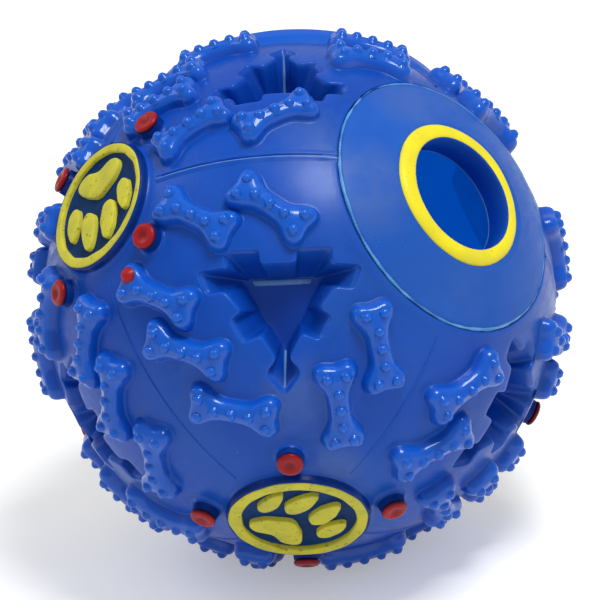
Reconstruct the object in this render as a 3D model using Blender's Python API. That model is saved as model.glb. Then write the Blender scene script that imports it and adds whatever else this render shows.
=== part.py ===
"""A squeaky treat ball for dogs, as an assembly. Metres, +Z up, lying on the floor at z = 0.

The ball is modelled in its own axes: +X out through the treat port, +Y out through the left paw
roundel, +Z out through the bottom one and -Z out through the sounder's cap. The relief in one
eighth of the ball, between those axes, is mirrored into the others, and drawn towards the seam
in the half that carries the cap. An empty then lays the ball on the bones of one eighth.
"""

import math

import bmesh
import bpy
from mathutils import Matrix, Vector

MM = 0.001

# Hollow vinyl ball, moulded in two halves that lap at the seam
BALL_RADIUS = 0.0555
WALL = 0.0035
FIT_GAP = 0.0003
LIP_WALL = 0.0009
LIP_DEPTH = 0.0025
CUBE_CUTS_OUTSIDE = 8
CUBE_CUTS_INSIDE = 4
TURN_STEPS = 28
SEAM_STEPS = 40
SMOOTH_ANGLE = math.radians(35)
WELD = 0.000002

# The eighth that lies on the floor: away from the port, the right side, towards the bottom roundel
LIES_ON = Vector((-1, -1, 1))

# Raised bones with studs
BONE_REACH = 0.0070
BONE_LOBE_RADIUS = 0.0026
BONE_LOBE_SPREAD = 0.0018
BONE_NOTCH = 0.0019
BONE_SHAFT_HALF_WIDTH = 0.0023
BONE_WAIST = 0.0025
BONE_NECK = 0.0050
BONE_HEIGHT = 0.0034
BONE_ROOT = 0.0012
BONE_DRAFT = 0.0006
STUD_HEIGHT = 0.0011

# Where the bones lie in one eighth: degrees from its middle, bearing from the bottom roundel
# anticlockwise as seen from outside, and bearing of the bone's length
BONES_LOWER = [
    (28.0, -139, 62),
    (22.5, -177, 54),
    (28.0, -98, 68),
    (23.0, -69, 73),
    (25.0, -28, 79),
    (25.0, 28, 5),
    (23.0, 66, 9),
]
BONES_UPPER = [
    (28.3, -137, 62),
    (21.8, -179, 56),
    (26.4, -98, 80),
    (24.6, -71, 78),
    (25.8, -27, 78),
    (28.8, 30, 94),
    (20.2, 56, 74),
]
BONE_WHERE_NO_PORT = (28.0, 98, 40)
UPPER_SQUEEZE = 0.77
UPPER_BONE_SIZE = 0.92

# Deep recess in the middle of each eighth: half outline from the seam side to the tip, in
# millimetres, as (rim point, floor point), with y towards the bottom or top roundel
RECESS_DEPTH = 0.0095
RECESS_LOFT = [
    ((0.0, -9.7), (0.0, -6.2)),
    ((4.0, -9.7), (2.8, -6.2)),
    ((4.0, -12.6), (3.2, -6.2)),
    ((11.2, -12.6), (6.4, -6.2)),
    ((11.2, -9.2), (7.0, -6.2)),
    ((17.3, -8.4), (8.4, -6.2)),
    ((15.4, -3.7), (8.1, -5.5)),
    ((11.7, -4.4), (7.5, -4.3)),
    ((8.1, 0.0), (5.1, 0.0)),
    ((10.7, 1.9), (4.7, 0.8)),
    ((8.1, 6.7), (3.5, 2.9)),
    ((4.3, 5.1), (3.0, 3.8)),
    ((1.2, 10.3), (0.9, 7.4)),
    ((3.6, 13.2), (0.6, 7.9)),
    ((0.0, 17.7), (0.0, 8.7)),
]
RECESS_BACK_CORNERS = (0, 3, 5, 6, 9, 10, 13, 14)
UPPER_RECESS_WIDTH = 0.88
UPPER_RECESS_LENGTH = 0.80

# Red-tipped nubs, four round each roundel
NUB_ANGLE = math.radians(20.5)
NUB_RADIUS = 0.0028
NUB_HEIGHT = 0.0022
NUB_CAP_RADIUS = 0.0027
NUB_CAP_HEIGHT = 0.0013
NUB_STEPS = 8

# Paw roundels: a yellow badge with a raised ring and pads, and a navy ground plate let into it
BADGE_RADIUS = 0.0148
BADGE_BACKING = 0.0006
BADGE_RELIEF = 0.0016
SEAT_DROP = 0.0018
RING_WIDTH = 0.0027
GROUND_THICKNESS = 0.0006
PAD_HALF_OUTLINE = [(0.0, -8.9), (4.6, -9.9), (6.9, -7.3), (3.6, -3.9), (0.0, -2.1)]
PAD_SPAN_STEPS = 2
TOES = [
    # sideways, forwards, half width, half length in millimetres, and outward lean in degrees
    (3.2, 5.0, 2.3, 4.7, -4),
    (8.5, 1.1, 1.9, 4.0, 4),
]
TOE_STEPS = 8

# Treat port: a glued plate with a collar inside, and a yellow rim
PLATE_RADIUS = 0.0287
PLATE_FLANGE = 0.0016
PLATE_LAND_WIDTH = 0.0045
PORT_RADIUS = 0.0129
PORT_OPENING_RADIUS = 0.0242
PORT_ARC_STEPS = 3
RIM_WIDTH = 0.0040
RIM_HEIGHT = 0.0009
COLLAR_WALL = 0.0025
COLLAR_DEPTH = 0.0065

# Smooth domed cap that closes the top, with the sounder's socket on its inside
CAP_RADIUS = 0.0350
CAP_OPENING_RADIUS = 0.0305
CAP_RISE = 0.0029
CAP_EDGE = 0.0011
CAP_ARC_STEPS = 5

# Tumble sounder, plugged into the cap's socket
SOCKET_WALL = 0.0018
SOCKET_DEPTH = 0.0065
SOCKET_FLOOR = 0.0015
TUBE_RADIUS = 0.0095
TUBE_WALL = 0.0013
TUBE_LENGTH = 0.0350
STOPPER_FLANGE = 0.0020
STOPPER_SPIGOT = 0.0030
VENT_RADIUS = 0.0030
BUMPER_THICKNESS = 0.0012
BUMPER_BORE = 0.0040
PLUG_FLANGE = 0.0020
PLUG_STEM_RADIUS = 0.0046
PLUG_STEM_LENGTH = 0.0062
PLUG_BORE = 0.0030
WEIGHT_LENGTH = 0.0052
REED_HOLDER_THICKNESS = 0.0016
REED_WIDTH = 0.0040
REED_LENGTH = 0.0110
REED_THICKNESS = 0.0004
REED_CLIP_LENGTH = 0.0025
REED_CLIP_HEIGHT = 0.0014
SOUNDER_STEPS = 20

# Sizes that follow from the ones above
INNER_RADIUS = BALL_RADIUS - WALL
SEAT_LEVEL = BALL_RADIUS - SEAT_DROP
BADGE_BASE = SEAT_LEVEL + FIT_GAP
BADGE_FLOOR = BADGE_BASE + BADGE_BACKING
BADGE_FACE = BADGE_FLOOR + BADGE_RELIEF
GROUND_BASE = BADGE_FLOOR + FIT_GAP
LAND_RADIUS = PORT_RADIUS + PLATE_LAND_WIDTH
LAND_LEVEL = math.sqrt(BALL_RADIUS**2 - LAND_RADIUS**2)
RIM_BASE = LAND_LEVEL + FIT_GAP
RIM_FACE = RIM_BASE + RIM_HEIGHT
COLLAR_END = RIM_FACE - COLLAR_DEPTH
SOCKET_LEVEL = INNER_RADIUS - SOCKET_FLOOR
SOCKET_MOUTH = SOCKET_LEVEL - SOCKET_DEPTH
TUBE_BORE = TUBE_RADIUS - TUBE_WALL
SLIDING_RADIUS = TUBE_BORE - FIT_GAP
BASE_PLUG_LOW = SOCKET_LEVEL - FIT_GAP
TUBE_LOW = BASE_PLUG_LOW - STOPPER_FLANGE - FIT_GAP
TUBE_HIGH = TUBE_LOW - TUBE_LENGTH
BASE_SPIGOT_END = TUBE_LOW + FIT_GAP - STOPPER_SPIGOT
VENT_FLANGE = TUBE_HIGH - FIT_GAP
VENT_SPIGOT_END = VENT_FLANGE + STOPPER_SPIGOT
BASE_BUMPER = BASE_SPIGOT_END - FIT_GAP
VENT_BUMPER = VENT_SPIGOT_END + FIT_GAP
PLUG_LOW = VENT_BUMPER + BUMPER_THICKNESS + FIT_GAP

BLUE = (0.016, 0.075, 0.470, 1)
DEEP_BLUE = (0.010, 0.050, 0.360, 1)
NAVY = (0.004, 0.012, 0.090, 1)
YELLOW = (0.800, 0.690, 0.045, 1)
RED = (0.480, 0.020, 0.020, 1)
IVORY = (0.620, 0.590, 0.500, 1)
STEEL = (0.450, 0.450, 0.470, 1)
BRASS = (0.600, 0.420, 0.130, 1)
FELT = (0.110, 0.110, 0.120, 1)

EIGHTHS = [Vector((x, y, z)) for x in (1, -1) for y in (1, -1) for z in (1, -1)]

# Outward axis and forward direction of the port and the cap
PORT_AXES = (Vector((1, 0, 0)), Vector((0, 0, 1)))
CAP_AXES = (Vector((0, 0, -1)), Vector((1, 0, 0)))

# Each roundel's outward axis and the way its paw points
ROUNDELS = {
    "left": (Vector((0, 1, 0)), Vector((0, 0, 1))),
    "bottom": (Vector((0, 0, 1)), Vector((1, 0, 0))),
    "right": (Vector((0, -1, 0)), Vector((0, 0, 1))),
    "back": (Vector((-1, 0, 0)), Vector((0, 0, 1))),
}


def clear_scene():
    for thing in list(bpy.data.objects):
        bpy.data.objects.remove(thing, do_unlink=True)


def empty(name, parent=None, location=(0, 0, 0)):
    thing = bpy.data.objects.new(name, None)
    thing.empty_display_size = WALL
    thing.parent = parent
    thing.location = location
    bpy.context.scene.collection.objects.link(thing)
    return thing


def finish(name, colour, roughness, metallic=0.0):
    material = bpy.data.materials.new(name)
    material.use_nodes = True
    shader = material.node_tree.nodes["Principled BSDF"]
    shader.inputs["Base Color"].default_value = colour
    shader.inputs["Roughness"].default_value = roughness
    shader.inputs["Metallic"].default_value = metallic
    return material


def piece(name, mesh, parent, colour, roughness, metallic=0.0):
    """A sub-part: one object with its own finish, smooth where it is round."""
    mesh.materials.clear()
    mesh.materials.append(finish(name, colour, roughness, metallic))
    mesh.shade_smooth()
    mesh.set_sharp_from_angle(angle=SMOOTH_ANGLE)
    thing = bpy.data.objects.new(name, mesh)
    thing.parent = parent
    bpy.context.scene.collection.objects.link(thing)
    return thing


def as_mesh(shape, name="shape"):
    """The bmesh as a mesh with its faces pointing out."""
    bmesh.ops.recalc_face_normals(shape, faces=shape.faces)
    mesh = bpy.data.meshes.new(name)
    shape.to_mesh(mesh)
    shape.free()
    return mesh


def add_mesh(shape, mesh, place):
    """Copies a mesh into the bmesh at a place, and drops the original."""
    mesh.transform(place)
    shape.from_mesh(mesh)
    bpy.data.meshes.remove(mesh)


def combined(solid, operation, tool):
    """The solid joined with the tool, or cut by it, as a new mesh."""
    pair = [bpy.data.objects.new(mesh.name, mesh) for mesh in (solid, tool)]
    for thing in pair:
        bpy.context.scene.collection.objects.link(thing)
    change = pair[0].modifiers.new("combine", "BOOLEAN")
    change.operation = operation
    change.solver = "EXACT"
    change.object = pair[1]
    graph = bpy.context.evaluated_depsgraph_get()
    result = bpy.data.meshes.new_from_object(pair[0].evaluated_get(graph))
    for thing in pair:
        bpy.data.objects.remove(thing, do_unlink=True)
    shape = bmesh.new()
    shape.from_mesh(result)
    bmesh.ops.dissolve_degenerate(shape, edges=shape.edges, dist=WELD)
    shape.to_mesh(result)
    shape.free()
    return result


def facing(outward, forward):
    """The turn that takes +Z to the outward axis and +Y to the forward one."""
    side = forward.cross(outward)
    return Matrix((side, forward, outward)).transposed().to_4x4()


def turned(outline, steps):
    """A solid turned round the Z axis from a closed outline of (radius, height) points."""
    shape = bmesh.new()
    rings = []
    for radius, height in outline:
        if radius == 0:
            rings.append([shape.verts.new((0, 0, height))] * steps)
            continue
        angles = [math.tau * (step + 0.5) / steps for step in range(steps)]
        rings.append(
            [shape.verts.new((radius * math.cos(a), radius * math.sin(a), height)) for a in angles]
        )
    for ring, following in zip(rings, rings[1:] + rings[:1]):
        for step in range(steps):
            other = (step + 1) % steps
            corners = dict.fromkeys([ring[step], ring[other], following[other], following[step]])
            if len(corners) > 2:
                shape.faces.new(list(corners))
    return as_mesh(shape)


def disc(radius, low, high, steps):
    return turned([(0, low), (radius, low), (radius, high), (0, high)], steps)


def tube(bore, radius, low, high, steps):
    return turned([(bore, low), (radius, low), (radius, high), (bore, high)], steps)


def arc(radius, start, end, steps=PORT_ARC_STEPS):
    """Points (distance from the axis, height) on a ball of that radius, between two distances."""
    low, high = math.asin(start / radius), math.asin(end / radius)
    angles = [low + (high - low) * step / steps for step in range(steps + 1)]
    return [(radius * math.sin(angle), radius * math.cos(angle)) for angle in angles]


def lofted(shape, rings):
    """Adds a closed solid through rings of points, with a flat face at each end."""
    loops = [[shape.verts.new(point) for point in ring] for ring in rings]
    count = len(loops[0])
    for loop, following in zip(loops, loops[1:]):
        for step in range(count):
            other = (step + 1) % count
            shape.faces.new((loop[step], loop[other], following[other], following[step]))
    shape.faces.new(loops[0])
    shape.faces.new(loops[-1])


def round_ball(radius, cuts):
    """A ball from a cube whose faces are divided evenly by angle."""
    shape = bmesh.new()
    bmesh.ops.create_cube(shape, size=2)
    bmesh.ops.subdivide_edges(shape, edges=shape.edges, cuts=cuts, use_grid_fill=True)
    for vert in shape.verts:
        evened = Vector([math.tan(value * math.pi / 4) for value in vert.co])
        vert.co = evened.normalized() * radius
    bmesh.ops.triangulate(shape, faces=shape.faces)
    return as_mesh(shape)


def mirrored(vector, eighth):
    return Vector([value * sign for value, sign in zip(vector, eighth)])


def settled(direction):
    """The direction, moved towards the seam where it lies in the half with the cap."""
    if direction.z >= 0:
        return direction
    height = math.asin(direction.z) * UPPER_SQUEEZE
    level = Vector((direction.x, direction.y, 0)).normalized()
    return level * math.cos(height) + Vector((0, 0, math.sin(height)))


def face_axes(eighth):
    """Out of the middle of an eighth, towards its bottom roundel or the cap, and across."""
    outward = Vector((1, 1, 1)).normalized()
    down = (Vector((0, 0, 1)) - outward * outward.z).normalized()
    across = outward.cross(down)
    return [mirrored(axis, eighth) for axis in (outward, down, across)]


def on_face(axes, distance, bearing):
    """The direction at an angle from the middle of an eighth, along a bearing."""
    outward, down, across = axes
    along = down * math.cos(bearing) + across * math.sin(bearing)
    return outward * math.cos(distance) + along * math.sin(distance)


def bone_outline(grow):
    """The bone's outline, anticlockwise from the right end's lower waist, in its own plane."""
    radius = BONE_LOBE_RADIUS + grow
    waist = Vector((BONE_WAIST, BONE_SHAFT_HALF_WIDTH + grow))
    lobe = [
        Vector((BONE_REACH + radius * math.cos(turn), BONE_LOBE_SPREAD + radius * math.sin(turn)))
        for turn in map(math.radians, (20, 105))
    ]
    notch = Vector((BONE_REACH + BONE_NOTCH + grow, 0))
    upper = lobe + [waist]
    lower = [Vector((point.x, -point.y)) for point in reversed(upper)]
    right = lower + [notch] + upper
    return right + [-point for point in right]


def bone_top_faces(outline, right_neck, left_neck):
    """Faces of the bone's top between its corners, each with the place of the stud in its middle."""
    shaft_stud = (BONE_WAIST + BONE_NECK) / 2
    lower_waist, lower_lobe, lower_tip, notch, upper_tip, upper_lobe, upper_waist = outline[:7]
    far_waist, far_lobe, far_tip, far_notch, far_lower_tip, far_lower_lobe, far_lower_waist = outline[7:]
    return [
        ((right_neck, lower_lobe, lower_tip, notch), (BONE_REACH, -BONE_LOBE_SPREAD)),
        ((right_neck, notch, upper_tip, upper_lobe), (BONE_REACH, BONE_LOBE_SPREAD)),
        ((lower_waist, lower_lobe, right_neck, upper_lobe, upper_waist), (shaft_stud, 0)),
        ((left_neck, far_lobe, far_tip, far_notch), (-BONE_REACH, BONE_LOBE_SPREAD)),
        ((left_neck, far_notch, far_lower_tip, far_lower_lobe), (-BONE_REACH, -BONE_LOBE_SPREAD)),
        ((far_waist, far_lobe, left_neck, far_lower_lobe, far_lower_waist), (-shaft_stud, 0)),
        ((far_lower_waist, lower_waist, upper_waist, far_waist), (0, 0)),
    ]


def add_bone(shape, outward, along, size):
    """Adds a bone bent over the ball, its length along a direction square to the outward one."""
    across = outward.cross(along)

    def bent(point, height):
        flat = (along * point[0] + across * point[1]) * size
        angle = flat.length / BALL_RADIUS
        lean = flat.normalized() * math.sin(angle) if angle else flat
        return (outward * math.cos(angle) + lean) * (BALL_RADIUS + height)

    root = [shape.verts.new(bent(point, -BONE_ROOT)) for point in bone_outline(BONE_DRAFT)]
    top = [shape.verts.new(bent(point, BONE_HEIGHT)) for point in bone_outline(0)]
    necks = [shape.verts.new(bent((side * BONE_NECK, 0), BONE_HEIGHT)) for side in (1, -1)]
    count = len(root)
    for step in range(count):
        other = (step + 1) % count
        shape.faces.new((root[step], root[other], top[other], top[step]))
    bmesh.ops.triangulate(shape, faces=[shape.faces.new(root)])
    for corners, middle in bone_top_faces(top, *necks):
        stud = shape.verts.new(bent(middle, BONE_HEIGHT + STUD_HEIGHT))
        for corner, following in zip(corners, corners[1:] + corners[:1]):
            shape.faces.new((corner, following, stud))


def bones_of(eighth):
    """The bones of one eighth and their size."""
    bones, size = (BONES_LOWER, 1) if eighth.z > 0 else (BONES_UPPER, UPPER_BONE_SIZE)
    if eighth.x < 0 < eighth.z:
        bones = bones + [BONE_WHERE_NO_PORT]
    return bones, size


def bone_place(eighth, distance, bearing, length_bearing):
    """A bone's outward direction and the direction of its length."""
    reach = BONE_REACH / BALL_RADIUS
    outward, down, across = face_axes(eighth)
    middle = on_face((outward, down, across), math.radians(distance), math.radians(bearing))
    turn = math.radians(length_bearing)
    flat = down * math.cos(turn) + across * math.sin(turn)
    along = outward.rotation_difference(middle) @ flat * math.sin(reach)
    ends = [settled(middle * math.cos(reach) + along * side) for side in (1, -1)]
    place = settled(middle)
    length = ends[0] - ends[1]
    return place, (length - place * length.dot(place)).normalized()


def nub_directions(axis):
    """Directions of the four nubs round a roundel, each towards the middle of an eighth."""
    for eighth in EIGHTHS:
        if eighth.dot(axis) > 0:
            lean = (eighth - axis).normalized()
            yield axis * math.cos(NUB_ANGLE) + lean * math.sin(NUB_ANGLE)


def relief():
    """What stands out of the ball, in sets whose members lie apart, so that sets may run together."""
    for number in range(len(BONES_LOWER) + 1):
        shape = bmesh.new()
        for eighth in EIGHTHS:
            bones, size = bones_of(eighth)
            for bone in bones[number : number + 1]:
                add_bone(shape, *bone_place(eighth, *bone), size)
        yield as_mesh(shape, "bones")
    bosses, nubs = bmesh.new(), bmesh.new()
    for axis, forward in ROUNDELS.values():
        boss = disc(BADGE_RADIUS, INNER_RADIUS + FIT_GAP, BADGE_BASE, TURN_STEPS)
        add_mesh(bosses, boss, facing(axis, forward))
        for outward in nub_directions(axis):
            body = disc(NUB_RADIUS, BALL_RADIUS - BONE_ROOT, BALL_RADIUS + NUB_HEIGHT, NUB_STEPS)
            add_mesh(nubs, body, facing(outward, outward.orthogonal().normalized()))
    yield as_mesh(bosses, "bosses")
    yield as_mesh(nubs, "nubs")


def add_recess(shape, eighth, rim, floor, floor_level):
    """Adds a tapered recess in the middle of an eighth, from half outlines in millimetres."""
    outward = settled(eighth.normalized())
    pole = Vector((0, 0, eighth.z))
    down = (pole - outward * outward.dot(pole)).normalized()
    across = outward.cross(down)

    def ring(half, level):
        whole = half + [(-x, y) for x, y in reversed(half) if x > 0]
        return [outward * level(x, y) + (across * x + down * y) * MM for x, y in whole]

    def above(x, y):
        return BALL_RADIUS + BONE_HEIGHT

    def on_ball(x, y):
        return math.sqrt((BALL_RADIUS + FIT_GAP) ** 2 - (x * MM) ** 2 - (y * MM) ** 2)

    def at_floor(x, y):
        return floor_level

    lofted(shape, [ring(rim, above), ring(rim, on_ball), ring(floor, at_floor)])


def recess_outlines(eighth, corners):
    """Half outlines of a recess's rim and floor through the numbered corners."""
    width, length = (1, 1) if eighth.z > 0 else (UPPER_RECESS_WIDTH, UPPER_RECESS_LENGTH)
    loft = [RECESS_LOFT[corner] for corner in corners]
    return [[(x * width, y * length) for x, y in half] for half in zip(*loft)]


def recesses():
    """The eight tapered hollows, as one cutter."""
    shape = bmesh.new()
    for eighth in EIGHTHS:
        rim, floor = recess_outlines(eighth, range(len(RECESS_LOFT)))
        add_recess(shape, eighth, rim, floor, BALL_RADIUS - RECESS_DEPTH)
    return as_mesh(shape, "recesses")


def recess_backs():
    """The eight recess walls as they stand into the hollow of the ball."""
    shape = bmesh.new()

    def grown(half):
        points = map(Vector, half)
        return [tuple(point + point.normalized() * WALL / MM) for point in points]

    for eighth in EIGHTHS:
        rim, floor = map(grown, recess_outlines(eighth, RECESS_BACK_CORNERS))
        add_recess(shape, eighth, rim, floor, BALL_RADIUS - RECESS_DEPTH - WALL)
    return as_mesh(shape, "recess_backs")


def hollow():
    """The room inside the ball, less the recess walls."""
    return combined(round_ball(INNER_RADIUS, CUBE_CUTS_INSIDE), "DIFFERENCE", recess_backs())


def stepped_opening(opening_radius, plate_radius):
    """A hole through the wall with a ledge round it for a glued plate."""
    ledge = BALL_RADIUS - PLATE_FLANGE - FIT_GAP
    rebate = arc(ledge, opening_radius + FIT_GAP, plate_radius + FIT_GAP)
    inside = math.sqrt(INNER_RADIUS**2 - opening_radius**2) - WALL
    above = BALL_RADIUS + BONE_HEIGHT
    outline = [(0, inside), (rebate[0][0], inside), *rebate, (rebate[-1][0], above), (0, above)]
    return turned(outline, TURN_STEPS)


def seats():
    """The openings for the port plate and the sounder's cap, and the badges' flat seats."""
    shape = bmesh.new()
    add_mesh(shape, stepped_opening(PORT_OPENING_RADIUS, PLATE_RADIUS), facing(*PORT_AXES))
    add_mesh(shape, stepped_opening(CAP_OPENING_RADIUS, CAP_RADIUS), facing(*CAP_AXES))
    for axes in ROUNDELS.values():
        seat = disc(BADGE_RADIUS + FIT_GAP, SEAT_LEVEL, BALL_RADIUS + BONE_HEIGHT, TURN_STEPS)
        add_mesh(shape, seat, facing(*axes))
    return as_mesh(shape, "seats")


def seam_cut(lower):
    """What is cut away to leave one half: the lower half keeps a lip that laps inside the upper."""
    clear = BALL_RADIUS * 2
    side = 1 if lower else -1
    level = side * FIT_GAP / 2
    lip_radius = INNER_RADIUS + LIP_WALL + (0 if lower else FIT_GAP)
    lip_level = -LIP_DEPTH - (0 if lower else FIT_GAP)
    end = -side * clear
    outline = [
        (0, lip_level),
        (lip_radius, lip_level),
        (lip_radius, level),
        (clear, level),
        (clear, end),
        (0, end),
    ]
    return turned(outline, SEAM_STEPS)


def make_shells(ball):
    outside = round_ball(BALL_RADIUS, CUBE_CUTS_OUTSIDE)
    solid = combined(outside, "DIFFERENCE", recesses())
    for members in relief():
        solid = combined(solid, "UNION", members)
    walls = combined(solid, "DIFFERENCE", hollow())
    shell = combined(walls, "DIFFERENCE", seats())
    for name, lower in (("lower_shell", True), ("upper_shell", False)):
        half = combined(shell, "DIFFERENCE", seam_cut(lower))
        piece(name, half, ball, BLUE, 0.38)


def pad_outline():
    """The paw's main pad: a smooth closed curve through its mirrored points."""
    half = [Vector(point) for point in PAD_HALF_OUTLINE]
    whole = half + [Vector((-point.x, point.y)) for point in reversed(half) if point.x > 0]
    count = len(whole)
    points = []
    for step in range(count):
        before, start, end, after = [whole[(step + shift) % count] for shift in (-1, 0, 1, 2)]
        leaving = (end - before) / 2
        arriving = (after - start) / 2
        for part in range(PAD_SPAN_STEPS):
            t = part / PAD_SPAN_STEPS
            turn = 3 * (end - start) - 2 * leaving - arriving
            bend = 2 * (start - end) + leaving + arriving
            points.append(start + leaving * t + turn * t**2 + bend * t**3)
    return [point * MM for point in points]


def toe_outlines():
    for sideways, forwards, half_width, half_length, lean in TOES:
        for side in (1, -1):
            turn = Matrix.Rotation(math.radians(-lean * side), 2)
            middle = Vector((sideways * side, forwards))
            angles = [math.tau * step / TOE_STEPS for step in range(TOE_STEPS)]
            oval = [Vector((half_width * math.cos(a), half_length * math.sin(a))) for a in angles]
            yield [(middle + turn @ point) * MM for point in oval]


def grown_outline(outline, grow):
    """The outline moved outwards along its own normals. It runs anticlockwise."""
    points = []
    for before, point, after in zip(outline[-1:] + outline[:-1], outline, outline[1:] + outline[:1]):
        run = (after - before).normalized()
        points.append(point + Vector((run.y, -run.x)) * grow)
    return points


def paw_prisms(low, high, grow):
    """The main pad and the four toes as upright prisms, grown all round."""
    shape = bmesh.new()
    for outline in [pad_outline(), *toe_outlines()]:
        points = grown_outline(outline, grow)
        lofted(shape, [[Vector((point.x, point.y, level)) for point in points] for level in (low, high)])
    return as_mesh(shape, "paw_prisms")


def paw_badge():
    """The yellow badge: a thin backing with the ring and the pads standing on it."""
    ring_bore = BADGE_RADIUS - RING_WIDTH
    outline = [
        (0, BADGE_BASE),
        (BADGE_RADIUS, BADGE_BASE),
        (BADGE_RADIUS, BADGE_FACE),
        (ring_bore, BADGE_FACE),
        (ring_bore, BADGE_FLOOR),
        (0, BADGE_FLOOR),
    ]
    sunk = (BADGE_BASE + BADGE_FLOOR) / 2
    return combined(turned(outline, TURN_STEPS), "UNION", paw_prisms(sunk, BADGE_FACE, 0))


def paw_ground():
    """The navy plate between the ring and the pads."""
    plate = disc(
        BADGE_RADIUS - RING_WIDTH - FIT_GAP, GROUND_BASE, GROUND_BASE + GROUND_THICKNESS, TURN_STEPS
    )
    return combined(plate, "DIFFERENCE", paw_prisms(BADGE_FLOOR, BADGE_FACE, FIT_GAP))


def nub_cap():
    """A domed cap, upright over the middle of the ball."""
    base = BALL_RADIUS + NUB_HEIGHT + FIT_GAP
    shoulder = base + NUB_CAP_HEIGHT / 2
    crown = base + NUB_CAP_HEIGHT
    outline = [
        (0, base),
        (NUB_CAP_RADIUS, base),
        (NUB_CAP_RADIUS, shoulder),
        (NUB_CAP_RADIUS / 2, crown),
        (0, crown),
    ]
    return turned(outline, NUB_STEPS)


def make_roundels(ball):
    badge = paw_badge()
    ground = paw_ground()
    for name, (axis, forward) in ROUNDELS.items():
        for kind, mesh, colour in (("badge", badge, YELLOW), ("ground", ground, NAVY)):
            copy = mesh.copy()
            copy.transform(facing(axis, forward))
            piece(f"paw_{kind}_{name}", copy, ball, colour, 0.48)
        for number, outward in enumerate(nub_directions(axis), 1):
            cap = nub_cap()
            cap.transform(facing(outward, outward.orthogonal().normalized()))
            piece(f"nub_cap_{name}_{number}", cap, ball, RED, 0.45)


def make_port(ball):
    collar_radius = PORT_RADIUS + COLLAR_WALL
    outline = [
        (PORT_RADIUS, COLLAR_END),
        (collar_radius, COLLAR_END),
        *arc(INNER_RADIUS, collar_radius, PORT_OPENING_RADIUS),
        *arc(BALL_RADIUS - PLATE_FLANGE, PORT_OPENING_RADIUS, PLATE_RADIUS),
        *arc(BALL_RADIUS, PLATE_RADIUS, LAND_RADIUS),
        (PORT_RADIUS, LAND_LEVEL),
    ]
    plate = turned(outline, TURN_STEPS)
    rim = tube(PORT_RADIUS, PORT_RADIUS + RIM_WIDTH, RIM_BASE, RIM_FACE, TURN_STEPS)
    for mesh in (plate, rim):
        mesh.transform(facing(*PORT_AXES))
    piece("port_plate", plate, ball, BLUE, 0.38)
    piece("port_rim", rim, ball, YELLOW, 0.45)


def make_cap(ball):
    """The sounder's cap: a dome with a rounded edge outside, and a flange and a socket inside."""
    bore = TUBE_RADIUS + FIT_GAP
    socket_radius = bore + SOCKET_WALL
    outline = [
        (0, SOCKET_LEVEL),
        (bore, SOCKET_LEVEL),
        (bore, SOCKET_MOUTH),
        (socket_radius, SOCKET_MOUTH),
        *arc(INNER_RADIUS, socket_radius, CAP_OPENING_RADIUS),
        *arc(BALL_RADIUS - PLATE_FLANGE, CAP_OPENING_RADIUS, CAP_RADIUS),
        (CAP_RADIUS, math.sqrt((BALL_RADIUS + CAP_RISE - CAP_EDGE) ** 2 - CAP_RADIUS**2)),
        *arc(BALL_RADIUS + CAP_RISE, CAP_RADIUS - CAP_EDGE, 0, CAP_ARC_STEPS),
    ]
    cap = turned(outline, TURN_STEPS)
    cap.transform(facing(*CAP_AXES))
    piece("sounder_cap", cap, ball, BLUE, 0.38)


def stopper(flange_face, spigot_end, bore):
    """An end plug: a flange outside the tube and a spigot inside, with an air hole if it has a bore."""
    flange = flange_face + (STOPPER_FLANGE if flange_face > spigot_end else -STOPPER_FLANGE)
    outline = [
        (bore, flange),
        (TUBE_RADIUS, flange),
        (TUBE_RADIUS, flange_face),
        (SLIDING_RADIUS, flange_face),
        (SLIDING_RADIUS, spigot_end),
        (bore, spigot_end),
    ]
    return turned(outline, SOUNDER_STEPS)


def make_sounder_case(sounder):
    base_plug = stopper(TUBE_LOW + FIT_GAP, BASE_SPIGOT_END, 0)
    vent_plug = stopper(VENT_FLANGE, VENT_SPIGOT_END, VENT_RADIUS)
    case = tube(TUBE_BORE, TUBE_RADIUS, TUBE_HIGH, TUBE_LOW, SOUNDER_STEPS)
    piece("sounder_tube", case, sounder, IVORY, 0.40)
    piece("sounder_base_plug", base_plug, sounder, IVORY, 0.45)
    piece("sounder_vent_plug", vent_plug, sounder, IVORY, 0.45)
    for name, low in (("vent_bumper", VENT_BUMPER), ("base_bumper", BASE_BUMPER - BUMPER_THICKNESS)):
        bumper = tube(BUMPER_BORE, SLIDING_RADIUS, low, low + BUMPER_THICKNESS, SOUNDER_STEPS)
        piece(name, bumper, sounder, FELT, 0.95)


def block(width, length, low, high, offset=0.0):
    """A plain bar across the sounder's axis, moved along its own length."""
    shape = bmesh.new()
    size = Matrix.Diagonal((width, length, high - low, 1))
    place = Matrix.Translation((0, offset, (low + high) / 2))
    bmesh.ops.create_cube(shape, size=1, matrix=place @ size)
    return as_mesh(shape)


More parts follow.
